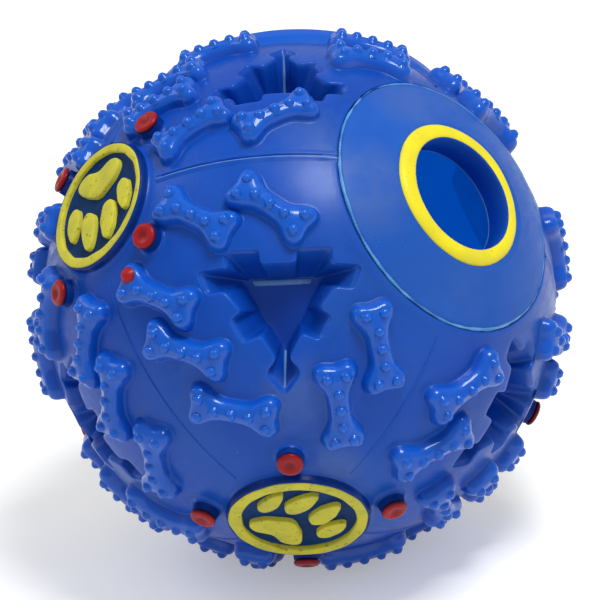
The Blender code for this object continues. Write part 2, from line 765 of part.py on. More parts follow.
def make_plug(sounder):
    """The weighted reed plug, modelled from its low face upwards along the sounder's axis."""
    plug = empty("plug_slide", sounder, (0, 0, PLUG_LOW))
    stem_top = PLUG_FLANGE + PLUG_STEM_LENGTH
    body_outline = [
        (PLUG_BORE, 0),
        (SLIDING_RADIUS, 0),
        (SLIDING_RADIUS, PLUG_FLANGE),
        (PLUG_STEM_RADIUS, PLUG_FLANGE),
        (PLUG_STEM_RADIUS, stem_top),
        (PLUG_BORE, stem_top),
    ]
    weight_low = PLUG_FLANGE + FIT_GAP
    weight = tube(
        PLUG_STEM_RADIUS + FIT_GAP, SLIDING_RADIUS, weight_low, weight_low + WEIGHT_LENGTH, SOUNDER_STEPS
    )
    holder_low = stem_top + FIT_GAP
    holder_high = holder_low + REED_HOLDER_THICKNESS
    holder = tube(PLUG_BORE, SLIDING_RADIUS, holder_low, holder_high, SOUNDER_STEPS)
    reed_low = holder_high + FIT_GAP
    reed_high = reed_low + REED_THICKNESS
    clip_offset = (REED_LENGTH - REED_CLIP_LENGTH) / 2
    clip_low = reed_high + FIT_GAP
    reed = block(REED_WIDTH, REED_LENGTH, reed_low, reed_high)
    clip = block(REED_WIDTH, REED_CLIP_LENGTH, clip_low, clip_low + REED_CLIP_HEIGHT, clip_offset)
    piece("plug_body", turned(body_outline, SOUNDER_STEPS), plug, DEEP_BLUE, 0.40)
    piece("plug_weight", weight, plug, STEEL, 0.35, 1.0)
    piece("reed_holder", holder, plug, DEEP_BLUE, 0.40)
    piece("reed_tongue", reed, plug, BRASS, 0.30, 1.0)
    piece("reed_clip", clip, plug, DEEP_BLUE, 0.40)


def resting_turn():
    """Turns the ball's axes so that it lies on one eighth with the port to the front."""
    up = -LIES_ON.normalized()
    port = Vector((1, 0, 0))
    back = -(port - up * port.dot(up)).normalized()
    return Matrix((back.cross(up), back, up)).to_4x4()


def lay_down(ball):
    """Sets the ball on the floor, centred over the origin."""
    ball.matrix_world = resting_turn()
    bpy.context.view_layer.update()
    points = [
        thing.matrix_world @ vert.co
        for thing in bpy.context.scene.objects
        if thing.type == "MESH"
        for vert in thing.data.vertices
    ]
    low = Vector([min(point[axis] for point in points) for axis in range(3)])
    high = Vector([max(point[axis] for point in points) for axis in range(3)])
    middle = (low + high) / 2
    ball.location = (-middle.x, -middle.y, -low.z)


def main():
    clear_scene()
    ball = empty("ball_axes")
    make_shells(ball)
    make_port(ball)
    make_roundels(ball)
    make_cap(ball)
    sounder = empty("sounder_axes", ball)
    sounder.rotation_euler = facing(*CAP_AXES).to_euler()
    make_sounder_case(sounder)
    make_plug(sounder)
    lay_down(ball)


main()
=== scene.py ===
"""Looks of the squeaky treat ball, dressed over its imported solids.

Shapes are drawn in millimetres in the ball's own axes (+X out of the treat port, +Y out of the left
roundel, +Z out of the bottom one, -Z out of the sounder's cap) and placed in the frame at the end.
"""

import math

import bmesh
import bpy
import numpy as np
from mathutils import Matrix, Vector, geometry


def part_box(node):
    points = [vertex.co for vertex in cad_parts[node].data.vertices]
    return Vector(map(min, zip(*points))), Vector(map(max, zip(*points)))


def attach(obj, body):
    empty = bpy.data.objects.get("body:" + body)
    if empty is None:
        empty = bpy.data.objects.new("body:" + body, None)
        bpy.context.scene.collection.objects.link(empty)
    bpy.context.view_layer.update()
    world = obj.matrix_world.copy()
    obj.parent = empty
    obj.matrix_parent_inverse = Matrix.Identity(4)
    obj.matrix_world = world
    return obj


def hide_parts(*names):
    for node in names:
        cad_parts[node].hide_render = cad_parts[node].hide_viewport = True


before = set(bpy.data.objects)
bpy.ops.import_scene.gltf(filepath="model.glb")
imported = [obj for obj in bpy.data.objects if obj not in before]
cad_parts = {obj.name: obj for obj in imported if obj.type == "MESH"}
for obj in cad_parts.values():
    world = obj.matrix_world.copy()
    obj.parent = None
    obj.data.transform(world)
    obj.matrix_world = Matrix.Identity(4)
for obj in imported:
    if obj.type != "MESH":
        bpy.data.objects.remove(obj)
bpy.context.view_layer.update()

# The ball in millimetres: its skin, its hollow, its wall and the step that its plates sit in
BALL = 55.5
INSIDE = 52.0
WALL = 3.5
REBATE = BALL - 1.6

# Grids of the skin and the lining: columns, rows and the angle above the seam where they end
SKIN_COLUMNS, SKIN_ROWS, SKIN_END = 360, 88, math.radians(86)
LINING_COLUMNS, LINING_ROWS, LINING_END = 150, 36, math.radians(89)

# How far the lining lies outside the hollow, runs in behind plates and keeps off the recesses' backs
LINING_LIFT = 0.06
LINING_TUCK = 4.0
BACK_MARGIN = 0.4

# How patches lie over the plain skin, and how far it runs on under them
LAY_OVER = 0.014
LAY_UNDER = 0.006
APRON = 2.0
APRON_MARGIN = 0.5
EDGE_MARGIN = 0.45
SKIN_OVERLAP = 0.45
SKIN_CELL = 1.0
CELL_ROW = 0.87
SEAT_CLEARANCE = 0.2
PLATE_CLEARANCE = 0.6

# The lapped seam: its bead as (aside, height) points, the part painted pale as a highlight, and its fine
# roughness
SEAM_GAP = 0.7
SEAM_BEAD = [
    (-1.40, 0.010), (-0.90, 0.05), (-0.52, 0.15), (-0.30, 0.10), (-0.15, -0.20), (0.08, -0.22),
    (0.22, 0.20), (0.50, 0.29), (0.85, 0.12), (1.40, 0.010),
]
SEAM_CREST = (0.16, 0.60)
SEAM_RIDGE = 0.06
SEAM_ROUGHNESS = 0.025
SEAM_WAVES = (40, 65, 110, 170)
SEAM_SEED = 30
SEAM_STEP = 0.8
SEAM_FROM_PLATE = 0.55
SEAM_FROM_BADGE = 1.4

# The faint lines of the mould as (aside, height) points, with their first, last and step angle
MOULD_LINE = [(-0.44, 0.010), (-0.13, 0.27), (0.10, 0.27), (0.38, 0.010)]
MOULD_ANGLES = (2, 80, 0.75)
MOULD_CLEARANCE = 2.2

# A bone: half its outline, its side as (growth, height) points, its studs as places along and across it
BONE_HEIGHT = 3.4
BONE_HALF_OUTLINE = [
    (0.0, 1.95), (2.2, 2.0), (4.2, 2.55), (6.0, 3.75), (7.5, 4.2), (8.75, 3.8), (9.3, 2.75), (9.1, 1.3),
    (8.9, 0.0),
]
BONE_PROFILE = [
    (1.30, 0.009), (0.92, 0.020), (0.70, 0.11), (0.54, 0.42), (0.42, 0.95), (0.24, 1.60),
    (-0.04, 2.22), (-0.40, 2.68), (-0.88, 2.96), (-1.40, 3.12),
]
BONE_CROWN = 0.12
BONE_SPINE = 6.0
BONE_REACH = 7.0
STUD_RADIUS = 1.80
STUD_TIP = 0.50
STUD_HEIGHT = 1.58
STUD_WAIST = 0.12
STUD_SINK = 0.82
STUD_SIDES = 10
STUD_RINGS = 4
STUDS = [(7.0, 1.9), (7.0, -1.9), (3.6, 0.0), (0.0, 0.0), (-3.6, 0.0), (-7.0, 1.9), (-7.0, -1.9)]

# The stray daub of paint: its bone, its stud and its line as (radius, height over the bone) points
DAUBED_BONE, DAUBED_STUD = 2, 5
DAUB = [(1.85, -0.30), (1.62, 0.02), (1.25, 0.42), (0.85, 0.80), (0.42, 0.96), (0.0, 0.98)]
DAUB_STEPS = 20

# Bones of an eighth: distance from its middle, bearing and bearing of their length, in degrees
BONES_LOWER = [
    (28.0, -139, 62), (22.5, -177, 54), (28.0, -98, 68), (23.0, -69, 73), (25.0, -28, 79), (25.0, 28, 5),
    (23.0, 66, 9),
]
BONES_UPPER = [
    (28.3, -137, 62), (21.8, -179, 56), (26.4, -98, 80), (24.6, -71, 78), (25.8, -27, 78), (28.8, 30, 94),
    (20.2, 56, 74),
]
BONE_WHERE_NO_PORT = (28.0, 98, 40)
UPPER_SQUEEZE = 0.77
UPPER_BONE_SIZE = 0.92

# A recess: half its (rim, floor) corners, the corners its back follows, and its rounded edges, then its
# lips as (growth, height) points, its walls as shares of the way down and its floors as shares of their size
RECESS_DEPTH = 9.5
RECESS_LOFT = [
    ((0.0, -9.7), (0.0, -6.2)), ((4.0, -9.7), (2.8, -6.2)), ((4.0, -12.6), (3.2, -6.2)),
    ((11.2, -12.6), (6.4, -6.2)), ((11.2, -9.2), (7.0, -6.2)), ((17.3, -8.4), (8.4, -6.2)),
    ((15.4, -3.7), (8.1, -5.5)), ((11.7, -4.4), (7.5, -4.3)), ((8.1, 0.0), (5.1, 0.0)),
    ((10.7, 1.9), (4.7, 0.8)), ((8.1, 6.7), (3.5, 2.9)), ((4.3, 5.1), (3.0, 3.8)),
    ((1.2, 10.3), (0.9, 7.4)), ((3.6, 13.2), (0.6, 7.9)), ((0.0, 17.7), (0.0, 8.7)),
]
RECESS_BACK_CORNERS = (0, 3, 5, 6, 9, 10, 13, 14)
UPPER_RECESS = (0.88, 0.80)
RIM_ROUND, FLOOR_ROUND, BACK_ROUND = 1.15, 0.6, 2.2
RECESS_ROLL = 0.5
RECESS_LIP = [(0.28, -0.05), (0.12, -0.18), (0.02, -0.40)]
RECESS_WALL = (0.07, 0.15, 0.3, 0.45, 0.6, 0.75, 0.86, 0.93, 0.97)
RECESS_FLOOR = [(0.90, 0.0), (0.72, 0.03), (0.35, 0.05), (0.02, 0.06)]
RECESS_MIDDLE = {1: -1.6, -1: -1.3}
BACK_LIP = [(4.2, 0.02), (1.2, -0.05), (0.5, -0.35)]
BACK_WALL = (0.12, 0.3, 0.5, 0.7, 0.85, 0.94)
BACK_FLOOR = (0.90, 0.75, 0.4, 0.02)

# The painted glints in a recess: the crease in its tip, and the ledge on its floor as (growth, rise) points
CREASE_ASIDES = (-0.30, -0.12, 0.12, 0.30)
CREASE_LIFT, CREASE_FALL, CREASE_RISE = 0.55, 0.9, 0.4
CREASE_SPAN = (0.10, 0.93, 12)
LEDGE_PLAN = [(-6.3, -5.9), (6.3, -5.9), (5.9, -4.8), (-5.9, -4.8)]
LEDGE_ROUND = 0.4
LEDGE_PROFILE = [(0.10, -0.1), (0.0, 0.22), (-0.12, 0.34), (-0.45, 0.38)]
LEDGE_RIDGE = (0.9, 0.02, 1)

# Heights above the skin, for the glossy roll of a recess's rim and the foot of a bone
RIM_ROLL = (-0.55, -0.003)
BONE_FOOT = (-1.0, 0.35)

# A nub: its foot, its body and its tip as (radius, height above the skin) points
NUB_ANGLE = math.radians(20.5)
NUB_FOOT = [(4.6, 0.009), (4.0, 0.03), (3.55, 0.14), (3.2, 0.42), (3.02, 0.80)]
NUB_BODY = [(3.02, 0.80), (2.92, 1.2), (2.85, 1.8), (2.78, 2.35), (2.4, 2.42), (0.0, 2.42)]
NUB_TIP = [
    (0.0, 2.50), (2.45, 2.50), (2.74, 2.62), (2.86, 2.86), (2.80, 3.20), (2.50, 3.50), (2.05, 3.66),
    (1.60, 3.62), (1.05, 3.40), (0.50, 3.26), (0.0, 3.22),
]
NUB_STEPS, TIP_STEPS = 24, 28

# A roundel: its boss's wall as (beyond the ring, below the face) points and foot as (beyond the ring,
# above the skin) points, then its ring and ground, its pad, and its toes as sideways, forwards, half
# width, half length and lean in degrees
BADGE_RADIUS = 14.8
RING_RADIUS = {"left": 14.2, "bottom": 14.9, "right": 14.55, "back": 14.55}
BADGE_FACE = 56.2
GROUND_FACE = 54.95
BADGE_ROOT = GROUND_FACE - 0.5
BOSS_WALL = [(-0.3, 0.26), (0.22, 0.22), (0.40, 0.40), (0.46, 1.0), (0.50, 1.6), (0.56, 2.05)]
BOSS_FOOT = [(0.80, 0.46), (1.15, 0.20), (1.6, 0.06)]
BOSS_FOOT_END = (17.4, 0.010)
BOSS_STEPS = 120
RING_BORE = 12.35
RING_STEPS = 240
GROUND_RADIUS = 12.3
GROUND_STEPS = 96
PAD_HALF_OUTLINE = [
    (0.0, -8.7), (3.5, -9.7), (6.0, -9.1), (6.8, -7.3), (5.4, -5.2), (3.2, -3.6), (0.0, -2.2),
]
PAD_EDGE = 0.32
PAD_WOBBLE, TOE_WOBBLE = 0.12, 0.07
BADGE_SEED = 100
TOES = [(3.2, 4.9, 2.3, 4.6, -4), (8.4, 1.0, 1.9, 3.95, 4)]
TOE_PLAN = [
    (0.0, -1.0), (0.80, -0.72), (1.0, -0.15), (0.86, 0.45), (0.42, 0.92), (-0.1, 1.0), (-0.62, 0.62),
    (-0.98, -0.05), (-0.78, -0.74),
]

# The treat port: its plate, collar and rim, and the swells of its glue as (angle, reach, width)
PORT_RADIUS = 12.9
PORT_BORE = PORT_RADIUS + 0.05
RIM_RADIUS = 16.9
RIM_LAND = 17.4
RIM_FACE = 53.9
RIM_SEAT = RIM_FACE - 1.20
BARE_BORE = 0.32
COLLAR_END = 47.4
COLLAR_RADIUS = 15.4
PLATE_RADIUS = 28.7
PORT_OPENING = 24.2
PLATE_STEPS = 168
LINED_BELOW = -3.2
GLUE_STEPS = 720
GLUE_SWELLS = [(115, 12, 0.22), (252, 18, 0.34), (20, 25, 0.08)]
GLUE_WIDTHS = (0.04, 0.55)
GLUE_LINE = [(-1.0, -0.25), (-0.9, 0.02), (0.0, 0.11), (0.9, 0.02), (1.0, -0.25), (-1.0, -0.25)]

# The skin's soft edge round the plate and the cap, as (beyond the opening, above the skin) points
LIP_GAP = 0.12
LIP_STEPS = 160
PLATE_LIP = [
    (0.0, -1.6), (0.06, -0.80), (0.18, -0.42), (0.40, -0.15), (0.62, -0.03), (0.85, LAY_OVER),
    (3.0, LAY_OVER),
]

# The sounder's cap and its socket
CAP_RADIUS = 35.0
CAP_OPENING = 30.5
CAP_DOME = 58.4
CAP_EDGE = 1.1
SOCKET_WALL = 2.1
SOCKET_END, SOCKET_FLOOR = 44.0, 50.5

# The sounder and its sliding plug
FIT_GAP = 0.3
TUBE_RADIUS = 9.5
TUBE_BORE = 8.2
TUBE_SPAN = (12.9, 47.9)
TURNED_STEPS = 64
TURNED_EDGE, VENT_EDGE = 0.25, 0.5
STOPPER_HEAD, STOPPER_DEPTH = 2.3, 2.7
BUMPER_BORE, BUMPER_THICKNESS = 4.0, 1.2
SLIDING_RADIUS = 7.9
AIRWAY = 3.0
PLUG_NECK, PLUG_FLANGE, PLUG_LENGTH = 4.6, 2.0, 8.2
WEIGHT_END = 7.5
HOLDER_THICKNESS = 1.6

# Edges of a piece that are flatter than this are shaded smooth, and points this near are one
SMOOTH_ANGLE = math.radians(55)
SAME_POINT = 0.0005

# The ball's axes in the frame
PORT = Vector((0, -math.sqrt(2 / 3), math.sqrt(1 / 3)))
LEFT = Vector((-math.sqrt(1 / 2), math.sqrt(1 / 6), math.sqrt(1 / 3)))
BOTTOM = Vector((-math.sqrt(1 / 2), -math.sqrt(1 / 6), -math.sqrt(1 / 3)))


def middle_of(node):
    """The middle of a node's box."""
    low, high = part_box(node)
    return (low + high) / 2


CENTRE = (middle_of("paw_badge_left") + middle_of("paw_badge_right")) / 2
AXES_TURN = Matrix((PORT, LEFT, BOTTOM)).transposed().to_4x4()
PLACE = Matrix.Translation(CENTRE) @ AXES_TURN @ Matrix.Scale(0.001, 4)

# Greyer patches of the skin, partly haze on the vinyl and partly painted sheen: direction in the ball's axes,
# reach in millimetres, strength
HAZE_AND_SHEEN_SPOTS = [
    ((0.43, 0.33, 0.84), 13, 0.55), ((0.16, 0.69, 0.71), 9, 0.55), ((0.28, 0.07, 0.96), 10, 0.55),
    ((0.77, 0.64, -0.05), 13, 0.35), ((-0.09, 0.83, -0.54), 13, 0.70), ((-0.33, 0.94, 0.07), 11, 0.60),
    ((-0.19, 0.09, 0.98), 9, 0.50), ((0.67, -0.31, 0.67), 10, 0.35), ((-0.55, 0.35, 0.76), 13, 0.60),
    ((-0.70, -0.60, -0.39), 13, 0.60), ((0.35, -0.85, -0.39), 12, 0.50), ((0.40, -0.60, 0.69), 12, 0.50),
    ((-0.62, 0.70, -0.35), 12, 0.50),
]
# Paler patches of the plate, partly scuffs and partly painted sheen
PLATE_SCUFF_AND_SHEEN_SPOTS = [
    ((0.91, 0.41, 0.11), 13, 0.50), ((0.91, 0.21, -0.35), 11, 0.40), ((0.90, -0.04, 0.43), 9, 0.30),
]

# The eighths of the ball, and what faces outwards and forwards on each of its axes
EIGHTHS = [np.array((x, y, z), float) for x in (1, -1) for y in (1, -1) for z in (1, -1)]
AXES = {
    "port": ((1, 0, 0), (0, 0, 1)),
    "cap": ((0, 0, -1), (1, 0, 0)),
    "left": ((0, 1, 0), (0, 0, 1)),
    "bottom": ((0, 0, 1), (1, 0, 0)),
    "right": ((0, -1, 0), (0, 0, 1)),
    "back": ((-1, 0, 0), (0, 0, 1)),
}
ROUNDELS = ("left", "bottom", "right", "back")


# Small tools for shapes: a shape is (points, faces)

def unit(vector):
    """A vector's direction."""
    return vector / np.linalg.norm(vector)


def facing(outward, forward):
    """Columns of the turn that takes +Z to the outward axis and +Y to the forward one."""
    outward, forward = np.array(outward, float), np.array(forward, float)
    return np.column_stack((np.cross(forward, outward), forward, outward))


def turned_to(shape, turn):
    """A shape moved by a turn."""
    points, faces = shape
    return points @ turn.T, faces


def joined(*shapes):
    """Several shapes as one."""
    points, faces, shift = [], [], 0
    for some_points, some_faces in shapes:
        points.append(some_points)
        faces += [tuple(corner + shift for corner in face) for face in some_faces]
        shift += len(some_points)
    return np.vstack(points), faces


def strip(rings, closed=True):
    """Faces between rings of points, each with the same count."""
    count = len(rings[0])
    faces = []
    for ring in range(len(rings) - 1):
        for step in range(count if closed else count - 1):
            other = (step + 1) % count
            start, end = ring * count, (ring + 1) * count
            faces.append((start + step, start + other, end + other, end + step))
    return np.vstack(rings), faces


def outwards(shape, side=1):
    """The shape with its faces turned away from the ball's middle, or towards it."""
    points, faces = shape
    corners = np.array([face[:3] for face in faces])
    a, b, c = (points[corners[:, i]] for i in range(3))
    if side * np.sum(np.cross(b - a, c - a) * (a + b + c)) < 0:
        faces = [face[::-1] for face in faces]
    return points, faces


def level_ring(reach, angles, level):
    """A ring of points round +Z, with one reach and level for all its angles or one for each."""
    return np.column_stack((reach * np.cos(angles), reach * np.sin(angles), np.full(len(angles), level)))


def at_level(loop, level):
    """A flat loop as points at a level."""
    return np.column_stack((loop, np.full(len(loop), level)))


def spun(profile, steps):
    """A surface turned round +Z from an open line of (radius, height) points."""
    angles = np.arange(steps) * math.tau / steps
    return strip([level_ring(radius, angles, height) for radius, height in profile])


def softened(profile, radius):
    """A closed line of (radius, height) points with its corners rounded."""
    points = [np.array(point, float) for point in profile]
    soft = []
    for before, point, after in zip(points[-1:] + points[:-1], points, points[1:] + points[:1]):
        if point[0] == 0:
            soft.append(point)
            continue
        start = point + (before - point) * min(radius / np.linalg.norm(before - point), 0.4)
        end = point + (after - point) * min(radius / np.linalg.norm(after - point), 0.4)
        soft += [start, (start + 2 * point + end) / 4, end]
    return soft


def turned_solid(profile, steps, soft):
    """A closed solid turned round +Z from a closed line of corners."""
    line = softened(profile, soft)
    return spun(line + line[:1], steps)


def arc(radius, start, end, steps):
    """A line of (radius, height) points on a ball, between two reaches from its axis."""
    angles = np.linspace(math.asin(start / radius), math.asin(end / radius), steps + 1)
    return [(radius * math.sin(angle), radius * math.cos(angle)) for angle in angles]


def skin_level(reach):
    """How high the ball's skin stands at a reach from an axis."""
    return np.sqrt(BALL**2 - reach**2)


def smooth_loop(corners, steps):
    """A smooth closed curve through points in a plane."""
    corners = np.array(corners, float)
    loop = []
    for i in range(len(corners)):
        a, b, c, d = (corners[(i + shift) % len(corners)] for shift in (-1, 0, 1, 2))
        run, bend, turn = (c - a) / 2, (2 * a - 5 * b + 4 * c - d) / 2, (3 * b - a - 3 * c + d) / 2
        for t in np.arange(steps) / steps:
            loop.append(b + run * t + bend * t**2 + turn * t**3)
    return np.array(loop)


def grown(loop, grow):
    """A closed anticlockwise loop moved out along its normals."""
    run = np.roll(loop, -1, 0) - np.roll(loop, 1, 0)
    run /= np.linalg.norm(run, axis=1)[:, None]
    return loop + np.column_stack((run[:, 1], -run[:, 0])) * grow


def rounded_corners(polygon, radius, corner_steps=4, edge_steps=4):
    """A polygon with rounded corners and a fixed count of points for each corner and edge."""
    polygon = np.array(polygon, float)
    count = len(polygon)
    starts, ends = [], []
    for i in range(count):
        for other, kept in ((polygon[i - 1], starts), (polygon[(i + 1) % count], ends)):
            way = other - polygon[i]
            kept.append(polygon[i] + way * min(radius / max(np.linalg.norm(way), 1e-6), 0.42))
    loop = []
    for i in range(count):
        for t in np.linspace(0, 1, corner_steps + 1):
            loop.append((1 - t) ** 2 * starts[i] + 2 * t * (1 - t) * polygon[i] + t**2 * ends[i])
        for t in np.arange(1, edge_steps) / edge_steps:
            loop.append(ends[i] * (1 - t) + starts[(i + 1) % count] * t)
    return np.array(loop)


def wander(angles, seed, size, waves):
    """A small uneven line round a circle, the same each time."""
    random = np.random.default_rng(seed)
    line = np.zeros_like(angles)
    for wave in waves:
        line += random.normal() * np.sin(wave * angles + random.uniform(0, math.tau)) / wave**0.6
    return size * line / np.std(line)


def bent(flat, height):
    """Points of a flat plan laid over the ball round +Z, at a height above it."""
    flat = np.atleast_2d(np.asarray(flat, float))
    angle = np.linalg.norm(flat, axis=1) / BALL
    way = flat / np.maximum(np.linalg.norm(flat, axis=1), 1e-9)[:, None]
    return np.column_stack((way * np.sin(angle)[:, None], np.cos(angle))) * (BALL + height)


def weld(mesh, turn_out=False):
    """Merges a mesh's doubles, drops its loose points and turns its faces out where it is closed."""
    work = bmesh.new()
    work.from_mesh(mesh)
    bmesh.ops.delete(work, geom=[point for point in work.verts if not point.link_faces], context="VERTS")
    bmesh.ops.remove_doubles(work, verts=work.verts, dist=SAME_POINT)
    if turn_out:
        bmesh.ops.recalc_face_normals(work, faces=work.faces)
    work.to_mesh(mesh)
    work.free()


def merged(shape, turn_out=False):
    """The shape with its doubles merged."""
    points, faces = shape
    mesh = bpy.data.meshes.new("merged")
    mesh.from_pydata([tuple(point) for point in points], [], faces)
    weld(mesh, turn_out)
    result = shape_of(mesh)
    bpy.data.meshes.remove(mesh)
    return result


def evenly(loop, step):
    """Points at about even steps along a closed loop."""
    ends = np.roll(loop, -1, 0)
    lengths = np.linalg.norm(ends - loop, axis=1)
    marks = np.concatenate(([0], np.cumsum(lengths)))
    places = np.linspace(0, marks[-1], int(marks[-1] / step), endpoint=False)
    closed = np.vstack((loop, loop[:1]))
    return np.column_stack([np.interp(places, marks, closed[:, axis]) for axis in (0, 1)])


def inside_loop(points, loop):
    """Which points of a plane lie inside a closed loop."""
    result = np.zeros(len(points), bool)
    x, y = points[:, 0], points[:, 1]
    for (ax, ay), (bx, by) in zip(loop, np.roll(loop, -1, 0)):
        crosses = (ay > y) != (by > y)
        if ay != by:
            result ^= crosses & (x < (bx - ax) * (y - ay) / (by - ay) + ax)
    return result


# Finishes

def finish(name):
    """A new material and its nodes."""
    material = bpy.data.materials.new(name)
    material.use_nodes = True
    return material, Nodes(material.node_tree)


def set_inputs(node, values):
    """Sets a node's named inputs, with _ for the spaces in their names."""
    for name, value in values.items():
        node.inputs[name.replace("_", " ")].default_value = value


def worked(tree, operation, *values):
    """The result of a maths node on values, each a number or another node's output."""
    node = tree.nodes.new("ShaderNodeMath")
    node.operation = operation
    for number, value in enumerate(values):
        if isinstance(value, float):
            node.inputs[number].default_value = value
        else:
            tree.links.new(value, node.inputs[number])
    return node.outputs["Value"]


class Nodes:
    """A material's node tree, with short ways to add what the finishes share."""

    def __init__(self, tree):
        self.tree = tree
        self.shader = tree.nodes["Principled BSDF"]
        self.place = tree.nodes.new("ShaderNodeTexCoord").outputs["Object"]

    def add(self, kind, **values):
        """A new node with its named inputs set."""
        node = self.tree.nodes.new("ShaderNode" + kind)
        set_inputs(node, values)
        return node

    def link(self, source, target):
        self.tree.links.new(source, target)

    def set(self, **values):
        """Sets inputs of the shader."""
        set_inputs(self.shader, values)

    def feed(self, name, source):
        """Drives one of the shader's inputs."""
        self.link(source, self.shader.inputs[name])

    def stretched(self, scale, turn):
        """The place, stretched and turned for scuffs that run one way."""
        node = self.add("Mapping", Scale=scale, Rotation=turn)
        self.link(self.place, node.inputs["Vector"])
        return node.outputs["Vector"]

    def distance(self, point):
        """How far the place lies from a point of the frame."""
        node = self.add("VectorMath")
        node.operation = "DISTANCE"
        node.inputs[1].default_value = point
        self.link(self.place, node.inputs[0])
        return node.outputs["Value"]

    def height(self, low, high):
        """How far the place stands above the ball's skin, from 0 at one height to 1 at the other, in mm."""
        return self.spread(self.distance(CENTRE), (BALL + low) / 1000, (BALL + high) / 1000)

    def noise(self, scale, detail=3.0, roughness=0.55, warp=0.0, place=None):
        """Soft random patches, smaller for a larger scale."""
        node = self.add("TexNoise", Scale=scale, Detail=detail, Roughness=roughness, Distortion=warp)
        self.link(place or self.place, node.inputs["Vector"])
        return node.outputs["Fac"]

    def spread(self, value, low, high, to_low=0.0, to_high=1.0):
        """A value between low and high, spread over another range."""
        node = self.add("MapRange", From_Min=low, From_Max=high, To_Min=to_low, To_Max=to_high)
        self.link(value, node.inputs["Value"])
        return node.outputs["Result"]

    def mix(self, factor, first, second):
        """A colour between two, each a colour or another node's output."""
        node = self.add("Mix")
        node.data_type = "RGBA"
        self.link(factor, node.inputs["Factor"])
        for socket, colour in ((node.inputs["A"], first), (node.inputs["B"], second)):
            if isinstance(colour, tuple):
                socket.default_value = (*colour, 1)
            else:
                self.link(colour, socket)
        return node.outputs["Result"]

    def bump(self, *layers):
        """Fine relief from (height, strength, depth in metres) layers, one over another."""
        last = None
        for height, strength, depth in layers:
            node = self.add("Bump", Strength=strength, Distance=depth)
            self.link(height, node.inputs["Height"])
            if last:
                self.link(last, node.inputs["Normal"])
            last = node.outputs["Normal"]
        self.feed("Normal", last)


def vinyl(name, colour, cloud, gloss, blur, roughness=(0.34, 0.50), patchwork=()):
    """Soft moulded vinyl: milky where it lies low, with hazy patches and painted sheen; clearer with a
    painted glow where it stands out, lighter at the studs' tips, and painted shade in its pits.
    """
    material, nodes = finish(name)
    clouded = nodes.mix(nodes.spread(nodes.noise(38, 4), 0.35, 0.68), colour, cloud)
    milky_and_sheen = nodes.mix(nodes.spread(nodes.noise(24, 4), 0.44, 0.66, 0.0, 0.60), clouded, MILKY_BLUE)
    # Greyer patches at the given spots, partly haze and partly painted sheen
    for direction, reach, share in patchwork:
        spot = PLACE @ (Vector(direction).normalized() * BALL)
        near = nodes.spread(nodes.distance(spot), reach / 1000, reach / 2500, 0.0, share)
        patchy = nodes.spread(nodes.noise(90, 4), 0.32, 0.58)
        milky_and_sheen = nodes.mix(worked(nodes.tree, "MULTIPLY", near, patchy), milky_and_sheen, HAZE_AND_SHEEN_BLUE)
    # Clearer blue on the relief, partly a painted glow of light through the thin vinyl
    raised = nodes.mix(nodes.height(0.2, 2.2), milky_and_sheen, CLEAR_GLOWING_BLUE)
    # Lighter blue at the studs' tips
    tipped = nodes.mix(nodes.height(3.7, 4.5), raised, STUD_TIP_BLUE)
    # Painted shade: darker blue down in the recesses and the port's bore
    pit_shaded = nodes.mix(nodes.height(-0.4, -4.5), tipped, PIT_SHADE_BLUE)
    dust = nodes.spread(nodes.noise(1500, 2), 0.71, 0.80, 0.0, 0.5)
    nodes.feed("Base Color", nodes.mix(dust, pit_shaded, DUST_BLUE))
    scuffs = nodes.noise(420, 4, 0.65, 0.6, nodes.stretched((0.22, 1, 1), (0.3, 0.5, 0.9)))
    nodes.feed("Roughness", nodes.spread(scuffs, 0.3, 0.7, *roughness))
    nodes.set(Coat_Weight=gloss, Coat_Roughness=blur)
    nodes.set(Specular_IOR_Level=0.17, Specular_Tint=(0.40, 0.65, 1.0, 1))
    nodes.set(Subsurface_Weight=0.12, Subsurface_Scale=0.004, Subsurface_Radius=(0.10, 0.35, 1.0))
    grain, fine_grain = nodes.noise(300, 3), nodes.noise(2600, 2)
    nodes.bump((grain, 0.16, 0.0004), (scuffs, 0.16, 0.0003), (fine_grain, 0.06, 0.0001))
    return material


def lining(name, colour, cloud, glow):
    """The inside of the vinyl wall, with a painted glow that stands in for the light that comes through it.
    """
    material, nodes = finish(name)
    nodes.feed("Base Color", nodes.mix(nodes.spread(nodes.noise(60, 4), 0.35, 0.68), colour, cloud))
    nodes.feed("Roughness", nodes.spread(nodes.noise(200, 3), 0.3, 0.7, 0.40, 0.55))
    # Painted light: the emission is a glow that stands in for light through the wall
    nodes.set(Specular_IOR_Level=0.25, Emission_Color=(*PAINTED_WALL_GLOW, 1), Emission_Strength=glow)
    nodes.bump((nodes.noise(300, 3), 0.16, 0.0004))
    return material


def paint(name, colour, patchwork, speck, roughness, gloss=0.10, shine=0.20, dish=None, specked=0.63):
    """Hand-sprayed paint on vinyl: an uneven colour with thin patches and dark specks, darker in a dish."""
    material, nodes = finish(name)
    uneven = nodes.mix(nodes.spread(nodes.noise(160, 5), 0.42, 0.70), colour, patchwork)
    if dish:
        uneven = nodes.mix(nodes.height(3.52, 3.24), uneven, dish)
    specks = nodes.spread(nodes.noise(820, 3, 0.7), specked, specked + 0.08, 0.0, 0.70)
    nodes.feed("Base Color", nodes.mix(specks, uneven, speck))
    nodes.feed("Roughness", nodes.spread(nodes.noise(300, 4), 0.3, 0.7, roughness - 0.08, roughness + 0.10))
    nodes.set(Coat_Weight=gloss, Coat_Roughness=0.22, Specular_IOR_Level=shine)
    nodes.bump((nodes.noise(700, 4), 0.22, 0.0003))
    return material


